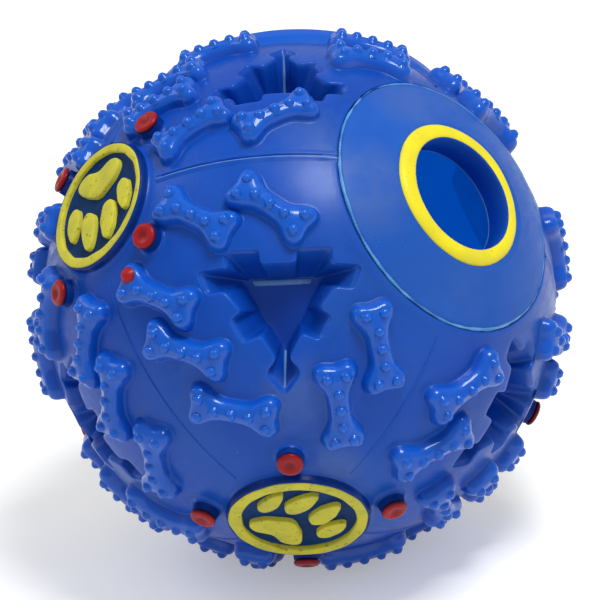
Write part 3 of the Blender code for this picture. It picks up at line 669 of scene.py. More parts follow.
def moulded(name, colour, shade):
    """Plain moulded plastic with a faint grain."""
    material, nodes = finish(name)
    nodes.feed("Base Color", nodes.mix(nodes.spread(nodes.noise(120, 4), 0.35, 0.7), colour, shade))
    nodes.feed("Roughness", nodes.spread(nodes.noise(500, 3), 0.3, 0.7, 0.34, 0.48))
    nodes.bump((nodes.noise(1800, 2), 0.08, 0.0001))
    return material


def metal(name, colour, shade, roughness):
    """Turned or rolled metal with fine scratches."""
    material, nodes = finish(name)
    scratches = nodes.noise(900, 6, 0.75, 2.0)
    nodes.feed("Base Color", nodes.mix(nodes.spread(scratches, 0.4, 0.65), colour, shade))
    nodes.feed("Roughness", nodes.spread(scratches, 0.3, 0.7, roughness - 0.08, roughness + 0.12))
    nodes.set(Metallic=1.0)
    nodes.bump((scratches, 0.12, 0.0001))
    return material


def felt(name, colour, shade):
    """Pressed felt, soft and matt."""
    material, nodes = finish(name)
    fibres = nodes.noise(2400, 6, 0.8, 1.2)
    nodes.feed("Base Color", nodes.mix(nodes.spread(fibres, 0.35, 0.65), colour, shade))
    nodes.set(Roughness=0.95, Sheen_Weight=0.4)
    nodes.bump((fibres, 0.6, 0.0003))
    return material


# What the vinyls share: low down, standing out with a painted glow, at the studs' tips, deep down with
# painted shade, dusty, in hazy patches with painted sheen, and the lining's painted glow
MILKY_BLUE = (0.021, 0.092, 0.395)
CLEAR_GLOWING_BLUE = (0.003, 0.096, 0.560)
STUD_TIP_BLUE = (0.006, 0.120, 0.600)
PIT_SHADE_BLUE = (0.001, 0.046, 0.350)
DUST_BLUE = (0.120, 0.240, 0.600)
HAZE_AND_SHEEN_BLUE = (0.074, 0.142, 0.400)
PAINTED_WALL_GLOW = (0.001, 0.200, 0.900)

# The vinyls: colour, clouds, gloss, its blur and the range of their roughness
BLUE_VINYL = vinyl("blue_vinyl", (0.001, 0.056, 0.410), (0.004, 0.074, 0.460), 0.24, 0.26, patchwork=HAZE_AND_SHEEN_SPOTS)
# The rims of the recesses: glossier, and a shade paler as a painted highlight
EDGE_VINYL = vinyl("edge_vinyl", (0.001, 0.058, 0.420), (0.006, 0.086, 0.490), 0.30, 0.14, (0.28, 0.42))
BONE_VINYL = vinyl("bone_vinyl", (0.001, 0.056, 0.410), (0.004, 0.074, 0.460), 0.50, 0.11, (0.26, 0.40))
# The cap: a lighter blue that paints the highlight on its top
CAP_VINYL = vinyl("cap_vinyl", (0.010, 0.100, 0.520), (0.018, 0.124, 0.570), 0.12, 0.25, (0.30, 0.42))
# The plate: paler and greyer than the skin, which paints its broad sheen
PLATE_VINYL = vinyl(
    "plate_vinyl", (0.008, 0.084, 0.450), (0.020, 0.114, 0.510), 0.08, 0.32, (0.42, 0.56), PLATE_SCUFF_AND_SHEEN_SPOTS,
)
LINING_VINYL = lining("lining_vinyl", (0.001, 0.080, 0.440), (0.002, 0.110, 0.520), glow=0.27)
# Painted shade: the recesses' backs inside are darker, with less glow
SHADED_BACK_LINING = lining("shaded_back_lining", (0.001, 0.060, 0.360), (0.001, 0.080, 0.420), glow=0.18)

# The paints, the glue and the painted glints: colour, thin patches, specks, roughness, gloss and shine
# Painted highlights: the pale glints in the recesses, on the seam's crest and at the collar's end
PAINTED_GLINT_VINYL = paint("painted_glint_vinyl", (0.075, 0.19, 0.46), (0.12, 0.26, 0.52), (0.02, 0.10, 0.40), 0.32)
GLUE = paint("dried_glue", (0.06, 0.25, 0.59), (0.16, 0.42, 0.71), (0.02, 0.14, 0.50), 0.35)
YELLOW_PAINT = paint(
    "yellow_paint", (0.62, 0.575, 0.046), (0.46, 0.450, 0.056), (0.16, 0.14, 0.03), 0.44, 0.06, 0.12,
    specked=0.595,
)
RIM_PAINT = paint(
    "rim_paint", (0.86, 0.74, 0.022), (0.76, 0.66, 0.032), (0.42, 0.36, 0.06), 0.46, 0.08, 0.14,
)
NAVY_PAINT = paint(
    "navy_paint", (0.001, 0.025, 0.105), (0.002, 0.037, 0.155), (0.01, 0.06, 0.20), 0.40, 0.03, 0.06,
)
WALL_PAINT = paint(
    "wall_paint", (0.001, 0.022, 0.170), (0.002, 0.034, 0.240), (0.01, 0.06, 0.30), 0.36, 0.06, 0.10,
)
RED_PAINT = paint(
    "red_paint", (0.36, 0.009, 0.013), (0.26, 0.007, 0.012), (0.07, 0.01, 0.03), 0.36, 0.10, 0.16,
    dish=(0.19, 0.004, 0.008),
)

IVORY_PLASTIC = moulded("ivory_plastic", (0.62, 0.59, 0.50), (0.54, 0.50, 0.41))
DEEP_BLUE_PLASTIC = moulded("deep_blue_plastic", (0.010, 0.050, 0.360), (0.014, 0.065, 0.430))
STEEL = metal("turned_steel", (0.50, 0.50, 0.52), (0.36, 0.36, 0.38), 0.34)
REED_BRASS = metal("reed_brass", (0.62, 0.43, 0.14), (0.46, 0.30, 0.09), 0.28)
GREY_FELT = felt("grey_felt", (0.11, 0.11, 0.12), (0.19, 0.19, 0.20))


# Setting out what repeats

def new_tree(name, inputs):
    """A geometry node tree with named inputs, and the ends of what it is given and what it returns."""
    tree = bpy.data.node_groups.new(name, "GeometryNodeTree")
    for label, kind, value in inputs:
        socket = tree.interface.new_socket(label, in_out="INPUT", socket_type="NodeSocket" + kind)
        if value is not None:
            socket.default_value = value
    tree.interface.new_socket("Result", in_out="OUTPUT", socket_type="NodeSocketGeometry")
    return tree, tree.nodes.new("NodeGroupInput").outputs, tree.nodes.new("NodeGroupOutput").inputs


def link_copies(tree, given, result, pattern):
    """Ends a tree: copies of a pattern on its points, each with its own turn, made real and finished."""
    add = tree.nodes.new
    turn = add("GeometryNodeInputNamedAttribute")
    turn.data_type = "FLOAT_VECTOR"
    turn.inputs["Name"].default_value = "turn"
    rotation = add("FunctionNodeEulerToRotation")
    copies = add("GeometryNodeInstanceOnPoints")
    real = add("GeometryNodeRealizeInstances")
    dressed = add("GeometryNodeSetMaterial")
    for source, target in (
        (turn.outputs["Attribute"], rotation.inputs["Euler"]),
        (given["Points"], copies.inputs["Points"]),
        (pattern, copies.inputs["Instance"]),
        (rotation.outputs["Rotation"], copies.inputs["Rotation"]),
        (copies.outputs["Instances"], real.inputs["Geometry"]),
        (real.outputs["Geometry"], dressed.inputs["Geometry"]),
        (given["Finish"], dressed.inputs["Material"]),
        (dressed.outputs["Geometry"], result["Result"]),
    ):
        tree.links.new(source, target)
    return tree


def set_out_tree():
    """Geometry nodes that set a shape out on points, each with its own turn."""
    tree, given, result = new_tree(
        "set_out", (("Points", "Geometry", None), ("Shape", "Object", None), ("Finish", "Material", None)),
    )
    shape = tree.nodes.new("GeometryNodeObjectInfo")
    tree.links.new(given["Shape"], shape.inputs["Object"])
    return link_copies(tree, given, result, shape.outputs["Geometry"])


def stud_tree():
    """Geometry nodes that set soft bell-shaped studs on points."""
    tree, given, result = new_tree("stud_row", (
        ("Points", "Geometry", None), ("Base Radius", "Float", STUD_RADIUS),
        ("Tip Radius", "Float", STUD_TIP), ("Height", "Float", STUD_HEIGHT), ("Waist", "Float", STUD_WAIST),
        ("Finish", "Material", None),
    ))
    add, link = tree.nodes.new, tree.links.new
    cone = add("GeometryNodeMeshCone")
    cone.inputs["Vertices"].default_value = STUD_SIDES
    cone.inputs["Side Segments"].default_value = STUD_RINGS
    for size, label in (("Base Radius", "Radius Bottom"), ("Tip Radius", "Radius Top"), ("Height", "Depth")):
        link(given[size], cone.inputs[label])
    apart, together = add("ShaderNodeSeparateXYZ"), add("ShaderNodeCombineXYZ")
    link(add("GeometryNodeInputPosition").outputs["Position"], apart.inputs["Vector"])
    share = worked(tree, "DIVIDE", apart.outputs["Z"], given["Height"])
    wave = worked(tree, "SINE", worked(tree, "MULTIPLY", share, math.tau))
    width = worked(tree, "SUBTRACT", 1.0, worked(tree, "MULTIPLY", wave, given["Waist"]))
    for axis in "XY":
        link(worked(tree, "MULTIPLY", apart.outputs[axis], width), together.inputs[axis])
    link(apart.outputs["Z"], together.inputs["Z"])
    waisted = add("GeometryNodeSetPosition")
    link(cone.outputs["Mesh"], waisted.inputs["Geometry"])
    link(together.outputs["Vector"], waisted.inputs["Position"])
    return link_copies(tree, given, result, waisted.outputs["Geometry"])


def mesh_object(name, shape):
    """A new object of a shape, in the scene."""
    points, faces = shape
    mesh = bpy.data.meshes.new(name)
    mesh.from_pydata([tuple(point) for point in points], [], faces)
    thing = bpy.data.objects.new(name, mesh)
    bpy.context.scene.collection.objects.link(thing)
    return thing


def shape_of(mesh):
    """A mesh as a shape."""
    points = np.empty(len(mesh.vertices) * 3)
    mesh.vertices.foreach_get("co", points)
    return points.reshape(-1, 3), [tuple(face.vertices) for face in mesh.polygons]


def set_out(tree, points, turns, material, shape=None):
    """Runs a tree on points with turns, and returns the result as a shape."""
    holder = mesh_object("set_out_points", (np.array(points, float), []))
    attribute = holder.data.attributes.new("turn", "FLOAT_VECTOR", "POINT")
    eulers = [Matrix(turn.tolist()).to_euler() for turn in turns]
    attribute.data.foreach_set("vector", np.array(eulers, float).ravel())
    pattern = mesh_object("pattern", shape) if shape else None
    modifier = holder.modifiers.new("set_out", "NODES")
    modifier.node_group = tree
    values = {"Shape": pattern, "Finish": material}
    for socket in tree.interface.items_tree:
        if socket.in_out == "INPUT" and values.get(socket.name):
            modifier[socket.identifier] = values[socket.name]
    graph = bpy.context.evaluated_depsgraph_get()
    mesh = bpy.data.meshes.new_from_object(holder.evaluated_get(graph))
    result = shape_of(mesh)
    for thing in filter(None, (holder, pattern)):
        bpy.data.objects.remove(thing, do_unlink=True)
    return result


SET_OUT = set_out_tree()
STUD_ROW = stud_tree()


# The relief of the ball

def settled(direction):
    """The direction, moved towards the seam where it lies in the half with the cap."""
    if direction[2] >= 0:
        return direction
    height = math.asin(direction[2]) * UPPER_SQUEEZE
    level = unit(np.array((direction[0], direction[1], 0)))
    return level * math.cos(height) + np.array((0, 0, math.sin(height)))


def round_ball(shape, turns, material):
    """Copies of a shape that is drawn round +Z, one for each turn about the ball's middle."""
    return set_out(SET_OUT, np.zeros((len(turns), 3)), turns, material, shape)


def leaning_to(place):
    """The turn that takes +Z to the direction of a place."""
    return np.array(Vector((0, 0, 1)).rotation_difference(Vector(place)).to_matrix())


def bone_places(half):
    """The turn of each bone in the half on that side of the seam."""
    reach = BONE_REACH / BALL
    base = unit(np.ones(3))
    down = unit(np.array((0, 0, 1)) - base * base[2])
    across = np.cross(base, down)
    for eighth in EIGHTHS:
        if eighth[2] != half:
            continue
        bones = BONES_LOWER if half > 0 else BONES_UPPER
        if eighth[0] < 0 < half:
            bones = bones + [BONE_WHERE_NO_PORT]
        for angles in bones:
            distance, bearing, turn = map(math.radians, angles)
            way = down * math.cos(bearing) + across * math.sin(bearing)
            middle = base * math.cos(distance) + way * math.sin(distance)
            flat = down * math.cos(turn) + across * math.sin(turn)
            leaning = Vector(base).rotation_difference(Vector(middle)) @ Vector(flat)
            along = np.array(leaning) * math.sin(reach)
            ends = [settled((middle * math.cos(reach) + along * side) * eighth) for side in (1, -1)]
            outward = settled(middle * eighth)
            length = ends[0] - ends[1]
            length = unit(length - outward * length.dot(outward))
            yield np.column_stack((length, np.cross(outward, length), outward))


def bone_shape(size):
    """A bone laid over the ball round +Z, soft at its foot and its top edge, with its studs."""
    waist, *quarter = BONE_HALF_OUTLINE
    half = [(x, -y) for x, y in quarter] + quarter[-2::-1]
    outline = half + [waist] + [(-x, -y) for x, y in half] + [(0.0, -waist[1])]
    loop = smooth_loop(outline, 2) * size
    rings = [bent(grown(loop, grow), height) for grow, height in BONE_PROFILE]
    top_edge = grown(loop, BONE_PROFILE[-1][0])
    along = np.clip(loop[:, 0], -BONE_SPINE * size, BONE_SPINE * size)
    spine = np.column_stack((along, np.zeros(len(along))))
    rings += [bent((spine + top_edge) / 2, BONE_HEIGHT - BONE_CROWN), bent(spine, BONE_HEIGHT)]
    places = bent(np.array(STUDS) * size, BONE_HEIGHT - STUD_SINK)
    studs = set_out(STUD_ROW, places, [leaning_to(place) for place in places], BONE_VINYL)
    return joined(outwards(strip(rings)), studs)


def whole_outline(half):
    """An outline and its mirror image, from the half of it on the +X side."""
    return half + [(-x, y) for x, y in reversed(half) if x > 0]


def recess_size(half):
    """Width and length of a recess, as shares of those in the lower half."""
    return (1, 1) if half > 0 else UPPER_RECESS


def recess_outlines(half, corners):
    """Rim and floor of a recess as polygons, for the half on that side of the seam."""
    width, length = recess_size(half)
    pairs = [RECESS_LOFT[corner] for corner in corners]
    return [whole_outline([(x * width, y * length) for x, y in points]) for points in zip(*pairs)]


def recess_loops(half):
    """Rim and floor of a recess with rounded corners."""
    rim, floor = recess_outlines(half, range(len(RECESS_LOFT)))
    return rounded_corners(rim, RIM_ROUND), rounded_corners(floor, FLOOR_ROUND)


def on_ball(flat, radius):
    """Points of a flat plan raised straight up to a ball."""
    return np.column_stack((flat, np.sqrt(radius**2 - np.sum(flat**2, axis=1))))


def recess_edge(half):
    """The rim of a recess where its edge starts to roll over, and the plain outline round it."""
    edge = grown(recess_loops(half)[0], RECESS_ROLL)
    round_it = edge[geometry.convex_hull_2d([Vector(point) for point in edge])]
    if np.sum(np.cross(round_it, np.roll(round_it, -1, 0))) < 0:
        round_it = round_it[::-1]
    return edge, evenly(round_it, SKIN_CELL)


def recess_apron(edge, round_it):
    """The skin from a recess's rim out to the plain outline, which lies over the rest of the skin."""
    outer = grown(round_it, APRON)
    low, high = outer.min(0), outer.max(0)
    grid = np.array([
        (x + (row % 2) * SKIN_CELL / 2, y)
        for row, y in enumerate(np.arange(low[1], high[1], SKIN_CELL * CELL_ROW))
        for x in np.arange(low[0], high[0], SKIN_CELL)
    ])
    clear = inside_loop(grid, grown(outer, -APRON_MARGIN)) & ~inside_loop(grid, grown(edge, EDGE_MARGIN))
    points = [Vector(point) for point in np.vstack((edge, outer, grid[clear]))]
    rims, start = [], 0
    for loop in (edge, outer):
        rims += [(start + step, start + (step + 1) % len(loop)) for step in range(len(loop))]
        start += len(loop)
    points, _, faces, *_ = geometry.delaunay_2d_cdt(points, rims, [], 0, 1e-5)
    points = np.array(points)
    middles = face_middles((points, faces))
    kept = ~inside_loop(middles, edge)
    return on_ball(points, BALL + LAY_UNDER), [tuple(face) for face, keep in zip(faces, kept) if keep]


def lofted(top, low, shares):
    """Rings between a top ring and a low one, at shares of the way down."""
    return [top * (1 - share) + low * share for share in shares]


def recess_shape(half):
    """A recess round +Z: a rim that rolls over, lofted walls and a soft triangular floor."""
    rim, floor = recess_loops(half)
    edge, round_it = recess_edge(half)
    low = at_level(floor, BALL - RECESS_DEPTH)
    middle = np.array((0.0, RECESS_MIDDLE[half], 0.0))
    rings = [on_ball(edge, BALL + LAY_UNDER)]
    rings += [on_ball(grown(rim, grow), BALL + lift) for grow, lift in RECESS_LIP]
    rings += lofted(on_ball(rim, BALL), low, RECESS_WALL)
    rings += [middle + (low - middle) * (shrink, shrink, 1) - (0, 0, drop) for shrink, drop in RECESS_FLOOR]
    return merged(joined(outwards(recess_apron(edge, round_it)), outwards(strip(rings))))


def recess_glints(half):
    """The crease in the tip of a recess, and the ledge along the seam side of its floor, both painted pale as
    highlights.
    """
    width, length = recess_size(half)
    level = BALL - RECESS_DEPTH
    (_, tip), (_, foot) = RECESS_LOFT[-1]
    top = on_ball(np.array([(0.0, tip * length)]), BALL)[0]
    low = np.array((0.0, foot * length, level))
    line = np.array(lofted(top, low, np.linspace(*CREASE_SPAN)))
    lifts = [(aside, CREASE_LIFT - abs(aside) * CREASE_FALL) for aside in CREASE_ASIDES]
    crease = strip([line + (aside, -lift, lift * CREASE_RISE) for aside, lift in lifts], closed=False)
    plan = rounded_corners(np.array(LEDGE_PLAN) * (width, length), LEDGE_ROUND)
    rings = [at_level(grown(plan, grow), level + rise) for grow, rise in LEDGE_PROFILE]
    middle = rings[-1].mean(0)
    rings.append(middle + (rings[-1] - middle) * LEDGE_RIDGE)
    return joined(outwards(crease), outwards(strip(rings)))


def recess_back_loops(half):
    """Rim and floor of a recess's back, a wall's thickness outside the recess."""
    for loop in recess_outlines(half, RECESS_BACK_CORNERS):
        loop = np.array(loop)
        yield rounded_corners(loop + WALL * loop / np.linalg.norm(loop, axis=1)[:, None], BACK_ROUND)


def recess_back_shape(half):
    """The back of a recess where it stands into the hollow, round +Z."""
    rim, floor = recess_back_loops(half)
    low = at_level(floor, BALL - RECESS_DEPTH - WALL)
    rings = [on_ball(grown(rim, grow), INSIDE + rise) for grow, rise in BACK_LIP]
    rings += lofted(on_ball(rim, INSIDE), low, BACK_WALL)
    rings += [low * (shrink, shrink, 1) for shrink in BACK_FLOOR]
    return outwards(strip(rings), -1)


def recess_turns(half):
    """The turn of each recess in the half on that side of the seam."""
    turns = []
    pole = np.array((0, 0, half))
    for eighth in EIGHTHS:
        if eighth[2] == half:
            outward = settled(unit(eighth))
            turns.append(facing(outward, unit(pole - outward * outward.dot(pole))))
    return turns


def nub_turns(axis):
    """The turn of each of the four nubs round a roundel."""
    axis = np.array(axis, float)
    for eighth in EIGHTHS:
        if eighth.dot(axis) > 0:
            lean = unit(eighth - axis)
            outward = axis * math.cos(NUB_ANGLE) + lean * math.sin(NUB_ANGLE)
            forward = lean * math.cos(NUB_ANGLE) - axis * math.sin(NUB_ANGLE)
            yield facing(outward, forward)


def under_loop(points, turns, loop):
    """Which points lie under a flat loop, at any of its turns."""
    result = np.zeros(len(points), bool)
    for turn in turns:
        local = points @ turn
        result |= (local[:, 2] > 0) & inside_loop(local[:, :2], loop)
    return result


def near_axis(points, name, radius):
    """Which points lie within a radius of one of the ball's axes, on its side of the ball."""
    local = points @ facing(*AXES[name])
    return (local[:, 2] > 0) & (np.hypot(local[:, 0], local[:, 1]) < radius)


def covered(points, half, extra):
    """Which points of the skin lie under a recess, a seat or a plate, or that near to one."""
    result = under_loop(points, recess_turns(half), grown(recess_edge(half)[1], extra))
    seats = {"port": PLATE_RADIUS + PLATE_CLEARANCE, "cap": CAP_RADIUS + PLATE_CLEARANCE}
    seats.update(dict.fromkeys(ROUNDELS, BADGE_RADIUS))
    for name, radius in seats.items():
        result |= near_axis(points, name, radius + SEAT_CLEARANCE + extra)
    return result


def clear_of(shape, hidden):
    """A shape without the faces that have hidden points."""
    points, faces = shape
    return points, [face for face in faces if not hidden[list(face)].any()]


def round_grid(half, radius, columns, angles):
    """A grid on one half of a ball, with a row at each of the angles above the seam."""
    around = np.arange(columns) * math.tau / columns
    return strip([
        level_ring(math.cos(angle) * radius, around, half * math.sin(angle) * radius) for angle in angles
    ])


def half_skin(half):
    """The plain skin of one half, with holes under its features."""
    skin = round_grid(half, BALL, SKIN_COLUMNS, np.linspace(SEAM_GAP / BALL, SKIN_END, SKIN_ROWS))
    return outwards(clear_of(skin, covered(skin[0], half, SKIN_OVERLAP)))


def half_lining(half):
    """The inside of one half, with the backs of its recesses."""
    inside = round_grid(half, INSIDE + LINING_LIFT, LINING_COLUMNS, np.linspace(0, LINING_END, LINING_ROWS))
    turns = recess_turns(half)
    rim, _ = recess_back_loops(half)
    hidden = under_loop(inside[0], turns, grown(rim, BACK_MARGIN))
    for name, radius in (("port", PORT_OPENING), ("cap", CAP_OPENING)):
        hidden |= near_axis(inside[0], name, radius - LINING_TUCK)
    backs = round_ball(recess_back_shape(half), turns, SHADED_BACK_LINING)
    return [(outwards(clear_of(inside, hidden), -1), LINING_VINYL), (backs, SHADED_BACK_LINING)]


def half_of(shape, half):
    """A shape with its faces turned out, and of those only the ones on one side of the seam."""
    points, faces = outwards(shape)
    return points, [face for face in faces if half * points[list(face), 2].mean() > 0]


def lip_round(axis, radius):
    """The soft edge of the skin round a plate that is this wide."""
    reaches = [(radius + LIP_GAP + beyond, lift) for beyond, lift in PLATE_LIP]
    line = [(reach, skin_level(reach) + lift) for reach, lift in reaches]
    return turned_to(spun(line, LIP_STEPS), facing(*AXES[axis]))


def boss_wall(name):
    """The navy wall of the boss under a roundel."""
    line = [(RING_RADIUS[name] + beyond, BADGE_FACE - drop) for beyond, drop in BOSS_WALL]
    return turned_to(spun(line, BOSS_STEPS), facing(*AXES[name]))


def boss_foot(name):
    """The soft blue foot of the boss under a roundel."""
    beyond, drop = BOSS_WALL[-1]
    line = [(RING_RADIUS[name] + beyond, BADGE_FACE - drop)]
    reaches = [(RING_RADIUS[name] + beyond, lift) for beyond, lift in BOSS_FOOT]
    line += [(reach, skin_level(reach) + lift) for reach, lift in reaches + [BOSS_FOOT_END]]
    return turned_to(spun(line, BOSS_STEPS), facing(*AXES[name]))


def mould_lines(half):
    """Faint raised lines along the edges of the eighths."""
    shapes = []
    angles = np.radians(np.arange(*MOULD_ANGLES))
    for x, y in ((1, 0), (-1, 0), (0, 1), (0, -1)):
        across = np.array((abs(y), abs(x), 0))
        spine = np.outer(np.cos(angles), (x, y, 0)) + np.outer(np.sin(angles), (0, 0, half))
        line = strip([spine * (BALL + height) + across * aside for aside, height in MOULD_LINE], closed=False)
        shapes.append(clear_of(line, covered(line[0], half, MOULD_CLEARANCE)))
    return outwards(joined(*shapes))


def seam_bead():
    """The crest of the lapped seam, painted pale as a highlight, and the rest of it: two low ridges with a
    fine groove between.
    """
    plate = math.degrees(math.asin((PLATE_RADIUS + SEAM_FROM_PLATE) / BALL))
    boss = math.degrees(math.asin((BADGE_RADIUS + SEAM_FROM_BADGE) / BALL))
    runs = ((plate, 90 - boss), (90 + boss, 180 - boss), (180 + boss, 270 - boss), (270 + boss, 360 - plate))
    shapes = []
    for start, end in runs:
        angles = np.radians(np.linspace(start, end, int((end - start) / SEAM_STEP)))
        rough = wander(angles, SEAM_SEED + int(start), SEAM_ROUGHNESS, SEAM_WAVES)
        rings = [
            level_ring(BALL + height + (rough if height > SEAM_RIDGE else 0.0), angles, aside)
            for aside, height in SEAM_BEAD
        ]
        shapes.append(strip(rings, closed=False))
    bead = outwards(joined(*shapes))
    aside = face_middles(bead)[:, 2]
    return parted(bead, (SEAM_CREST[0] < aside) & (aside < SEAM_CREST[1]))


def face_middles(shape):
    """The middle of each face of a shape."""
    points, faces = shape
    return np.array([points[list(face)].mean(0) for face in faces])


def parted(shape, chosen):
    """A shape's chosen faces and the others, as two shapes."""
    points, faces = shape
    parts = ([], [])
    for face, choice in zip(faces, chosen):
        parts[0 if choice else 1].append(face)
    return [(points, part) for part in parts]


def between(shape, low, high):
    """The faces of a shape that lie between two heights above the ball's skin, and the others."""
    points, faces = shape
    lengths = np.linalg.norm(points, axis=1) - BALL
    heights = np.array([lengths[list(face)].mean() for face in faces])
    return parted(shape, (low < heights) & (heights < high))


def half_shell(half):
    """One half of the ball: skin, bones, painted walls, painted highlights in its recesses and on its seam,
    and inside.
    """
    bone = bone_shape(1.0 if half > 0 else UPPER_BONE_SIZE)
    recesses = recess_turns(half)
    nubs = [turn for name in ROUNDELS for turn in nub_turns(AXES[name][0]) if turn[2, 2] * half > 0]
    foot, body = (
        outwards(spun([(r, math.sqrt((BALL + h) ** 2 - r**2)) for r, h in line], NUB_STEPS))
        for line in (NUB_FOOT, NUB_BODY)
    )
    parts = [half_skin(half), mould_lines(half), round_ball(foot, nubs, BLUE_VINYL)]
    walls = [round_ball(body, nubs, WALL_PAINT)]
    for name in ROUNDELS:
        if half * AXES[name][0][2] >= 0:
            parts.append(half_of(boss_foot(name), half))
            walls.append(half_of(boss_wall(name), half))
    parts.append(half_of(lip_round("port", PLATE_RADIUS), half))
    if half < 0:
        parts.append(outwards(lip_round("cap", CAP_RADIUS)))
    glints = round_ball(recess_glints(half), recesses, PAINTED_GLINT_VINYL)
    if half > 0:
        crest, seam = seam_bead()
        parts.append(seam)
        glints = joined(glints, crest)
    edges, pits = between(round_ball(recess_shape(half), recesses, BLUE_VINYL), *RIM_ROLL)
    feet, relief = between(round_ball(bone, list(bone_places(half)), BONE_VINYL), *BONE_FOOT)
    parts += [pits, feet]
    return [
        (joined(*parts), BLUE_VINYL), (edges, EDGE_VINYL), (relief, BONE_VINYL), (joined(*walls), WALL_PAINT),
        (glints, PAINTED_GLINT_VINYL), *half_lining(half),
    ]


# Pieces

def piece(name, shapes, slot, body="ball", replaces=()):
    """A finished piece from (shape, material) pairs, welded where they meet and placed in the frame."""
    thing = mesh_object(name, joined(*(shape for shape, _ in shapes)))
    mesh = thing.data
    numbers = []
    for number, (shape, material) in enumerate(shapes):
        mesh.materials.append(material)
        numbers += [number] * len(shape[1])
    mesh.polygons.foreach_set("material_index", numbers)
    weld(mesh)
    mesh.transform(PLACE)
    mesh.shade_smooth()
    mesh.set_sharp_from_angle(angle=SMOOTH_ANGLE)
    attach(thing, body)
    if replaces:
        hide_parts(*replaces)
    return thing


def solid_shape(shape):
    """A closed shape with its doubles merged and its faces pointing out."""
    return merged(shape, True)


def red_daub():
    """A stray daub of red paint over one stud, near the left roundel."""
    turn = list(bone_places(1))[DAUBED_BONE]
    lean = leaning_to(bent(STUDS[DAUBED_STUD], 0.0)[0])
    line = [(reach, BALL + BONE_HEIGHT + height) for reach, height in DAUB]
    return outwards(turned_to(turned_to(spun(line, DAUB_STEPS), lean), turn))


def make_shells():
    """The two halves of the ball, with the stray daub on the lower one."""
    for half, name in ((1, "lower_shell"), (-1, "upper_shell")):
        shapes = half_shell(half)
        if half > 0:
            shapes.append((red_daub(), RED_PAINT))
        piece(name + "_skin", shapes, "blue_vinyl", replaces=[name])


def raised(loop, base, face):
    """A pad with a soft top edge, standing on a plane."""
    rings = [at_level(grown(loop, grow), level) for grow, level in (
        (0.10, base), (0.05, base + 0.3), (0.0, face - PAD_EDGE), (-PAD_EDGE * 0.35, face - PAD_EDGE * 0.35),
        (-PAD_EDGE, face - 0.06), (-PAD_EDGE * 2.2, face),
    )]
    middle = loop.mean(0)
    inner = grown(loop, -PAD_EDGE * 2.2) - middle
    for shrink, level in ((0.6, face + 0.02), (0.25, face + 0.02), (0.01, face + 0.02), (0.01, base)):
        rings.append(at_level(middle + inner * shrink, level))
    return strip(rings)


def toe_loops():
    """The outlines of a paw's four toes, in mirrored pairs."""
    for sideways, forwards, half_width, half_length, lean in TOES:
        plan = [(x * half_width, y * half_length) for x, y in TOE_PLAN]
        for side in (1, -1):
            turn = Matrix.Rotation(math.radians(-lean * side), 2)
            shift = Vector((sideways * side, forwards))
            yield np.array([turn @ Vector((x * side, y)) + shift for x, y in plan][::side])


def ragged(loop, seed, size):
    """A loop with the small wobble of a hand-painted edge."""
    angles = np.arange(len(loop)) * math.tau / len(loop)
    middle = loop.mean(0)
    reach = np.linalg.norm(loop - middle, axis=1)[:, None]
    return loop + (loop - middle) / reach * wander(angles, seed, size, (2, 3, 5, 7))[:, None]


def badge_shape(seed, ring):
    """A roundel's ring, pad and toes round +Z, with hand-painted edges."""
    angles = np.arange(RING_STEPS) * math.tau / RING_STEPS
    outer = ring + wander(angles, seed, 0.09, (2, 3, 5, 9, 14))
    inner = RING_BORE + wander(angles, seed + 1, 0.09, (3, 5, 9, 14)) + wander(angles, seed + 2, 0.28, (1, 2))
    shapes = [strip([level_ring(edge + shift, angles, level) for edge, shift, level in (
        (inner, 0.0, BADGE_ROOT), (inner, 0.02, BADGE_FACE - 0.34), (inner, 0.14, BADGE_FACE - 0.10),
        (inner, 0.45, BADGE_FACE - 0.01), (outer, -0.40, BADGE_FACE - 0.01),
        (outer, -0.12, BADGE_FACE - 0.09), (outer, 0.0, BADGE_FACE - 0.30), (outer, 0.0, BADGE_ROOT),
        (inner, 0.0, BADGE_ROOT),
    )])]
    pad = smooth_loop(whole_outline(PAD_HALF_OUTLINE), 10)
    shapes.append(raised(ragged(pad, seed + 2, PAD_WOBBLE), BADGE_ROOT, BADGE_FACE))
    for number, loop in enumerate(toe_loops()):
        toe = ragged(smooth_loop(loop, 9), seed + 3 + number, TOE_WOBBLE)
        shapes.append(raised(toe, BADGE_ROOT, BADGE_FACE))
    return joined(*(solid_shape(shape) for shape in shapes))


def ground_shape():
    """The navy ground round +Z, slightly hollow, turned up where it meets the ring."""
    line = [
        (0.0, GROUND_FACE - 0.7), (GROUND_RADIUS, GROUND_FACE - 0.7), (GROUND_RADIUS, GROUND_FACE + 0.35),
        (11.6, GROUND_FACE + 0.12),
    ]
    line += [(reach, GROUND_FACE + 0.04 * (reach / 11) ** 2) for reach in (10.8, 9, 6, 3, 0)]
    return solid_shape(spun(line, GROUND_STEPS))


def make_roundels():
    """The four roundels, each with its ground and the red tips of its four nubs."""
    tip = solid_shape(spun([(reach, BALL + height) for reach, height in NUB_TIP], TIP_STEPS))
    for number, name in enumerate(ROUNDELS):
        turn = facing(*AXES[name])
        badge = turned_to(badge_shape(BADGE_SEED + 10 * number, RING_RADIUS[name]), turn)
        piece(f"paw_{name}", [(badge, YELLOW_PAINT)], "yellow_vinyl", replaces=[f"paw_badge_{name}"])
        ground = turned_to(ground_shape(), turn)
        piece(f"paw_floor_{name}", [(ground, NAVY_PAINT)], "navy_vinyl", replaces=[f"paw_ground_{name}"])
        for nub, nub_turn in enumerate(nub_turns(AXES[name][0]), 1):
            shapes = [(turned_to(tip, nub_turn), RED_PAINT)]
            piece(f"nub_tip_{name}_{nub}", shapes, "red_vinyl", replaces=[f"nub_cap_{name}_{nub}"])


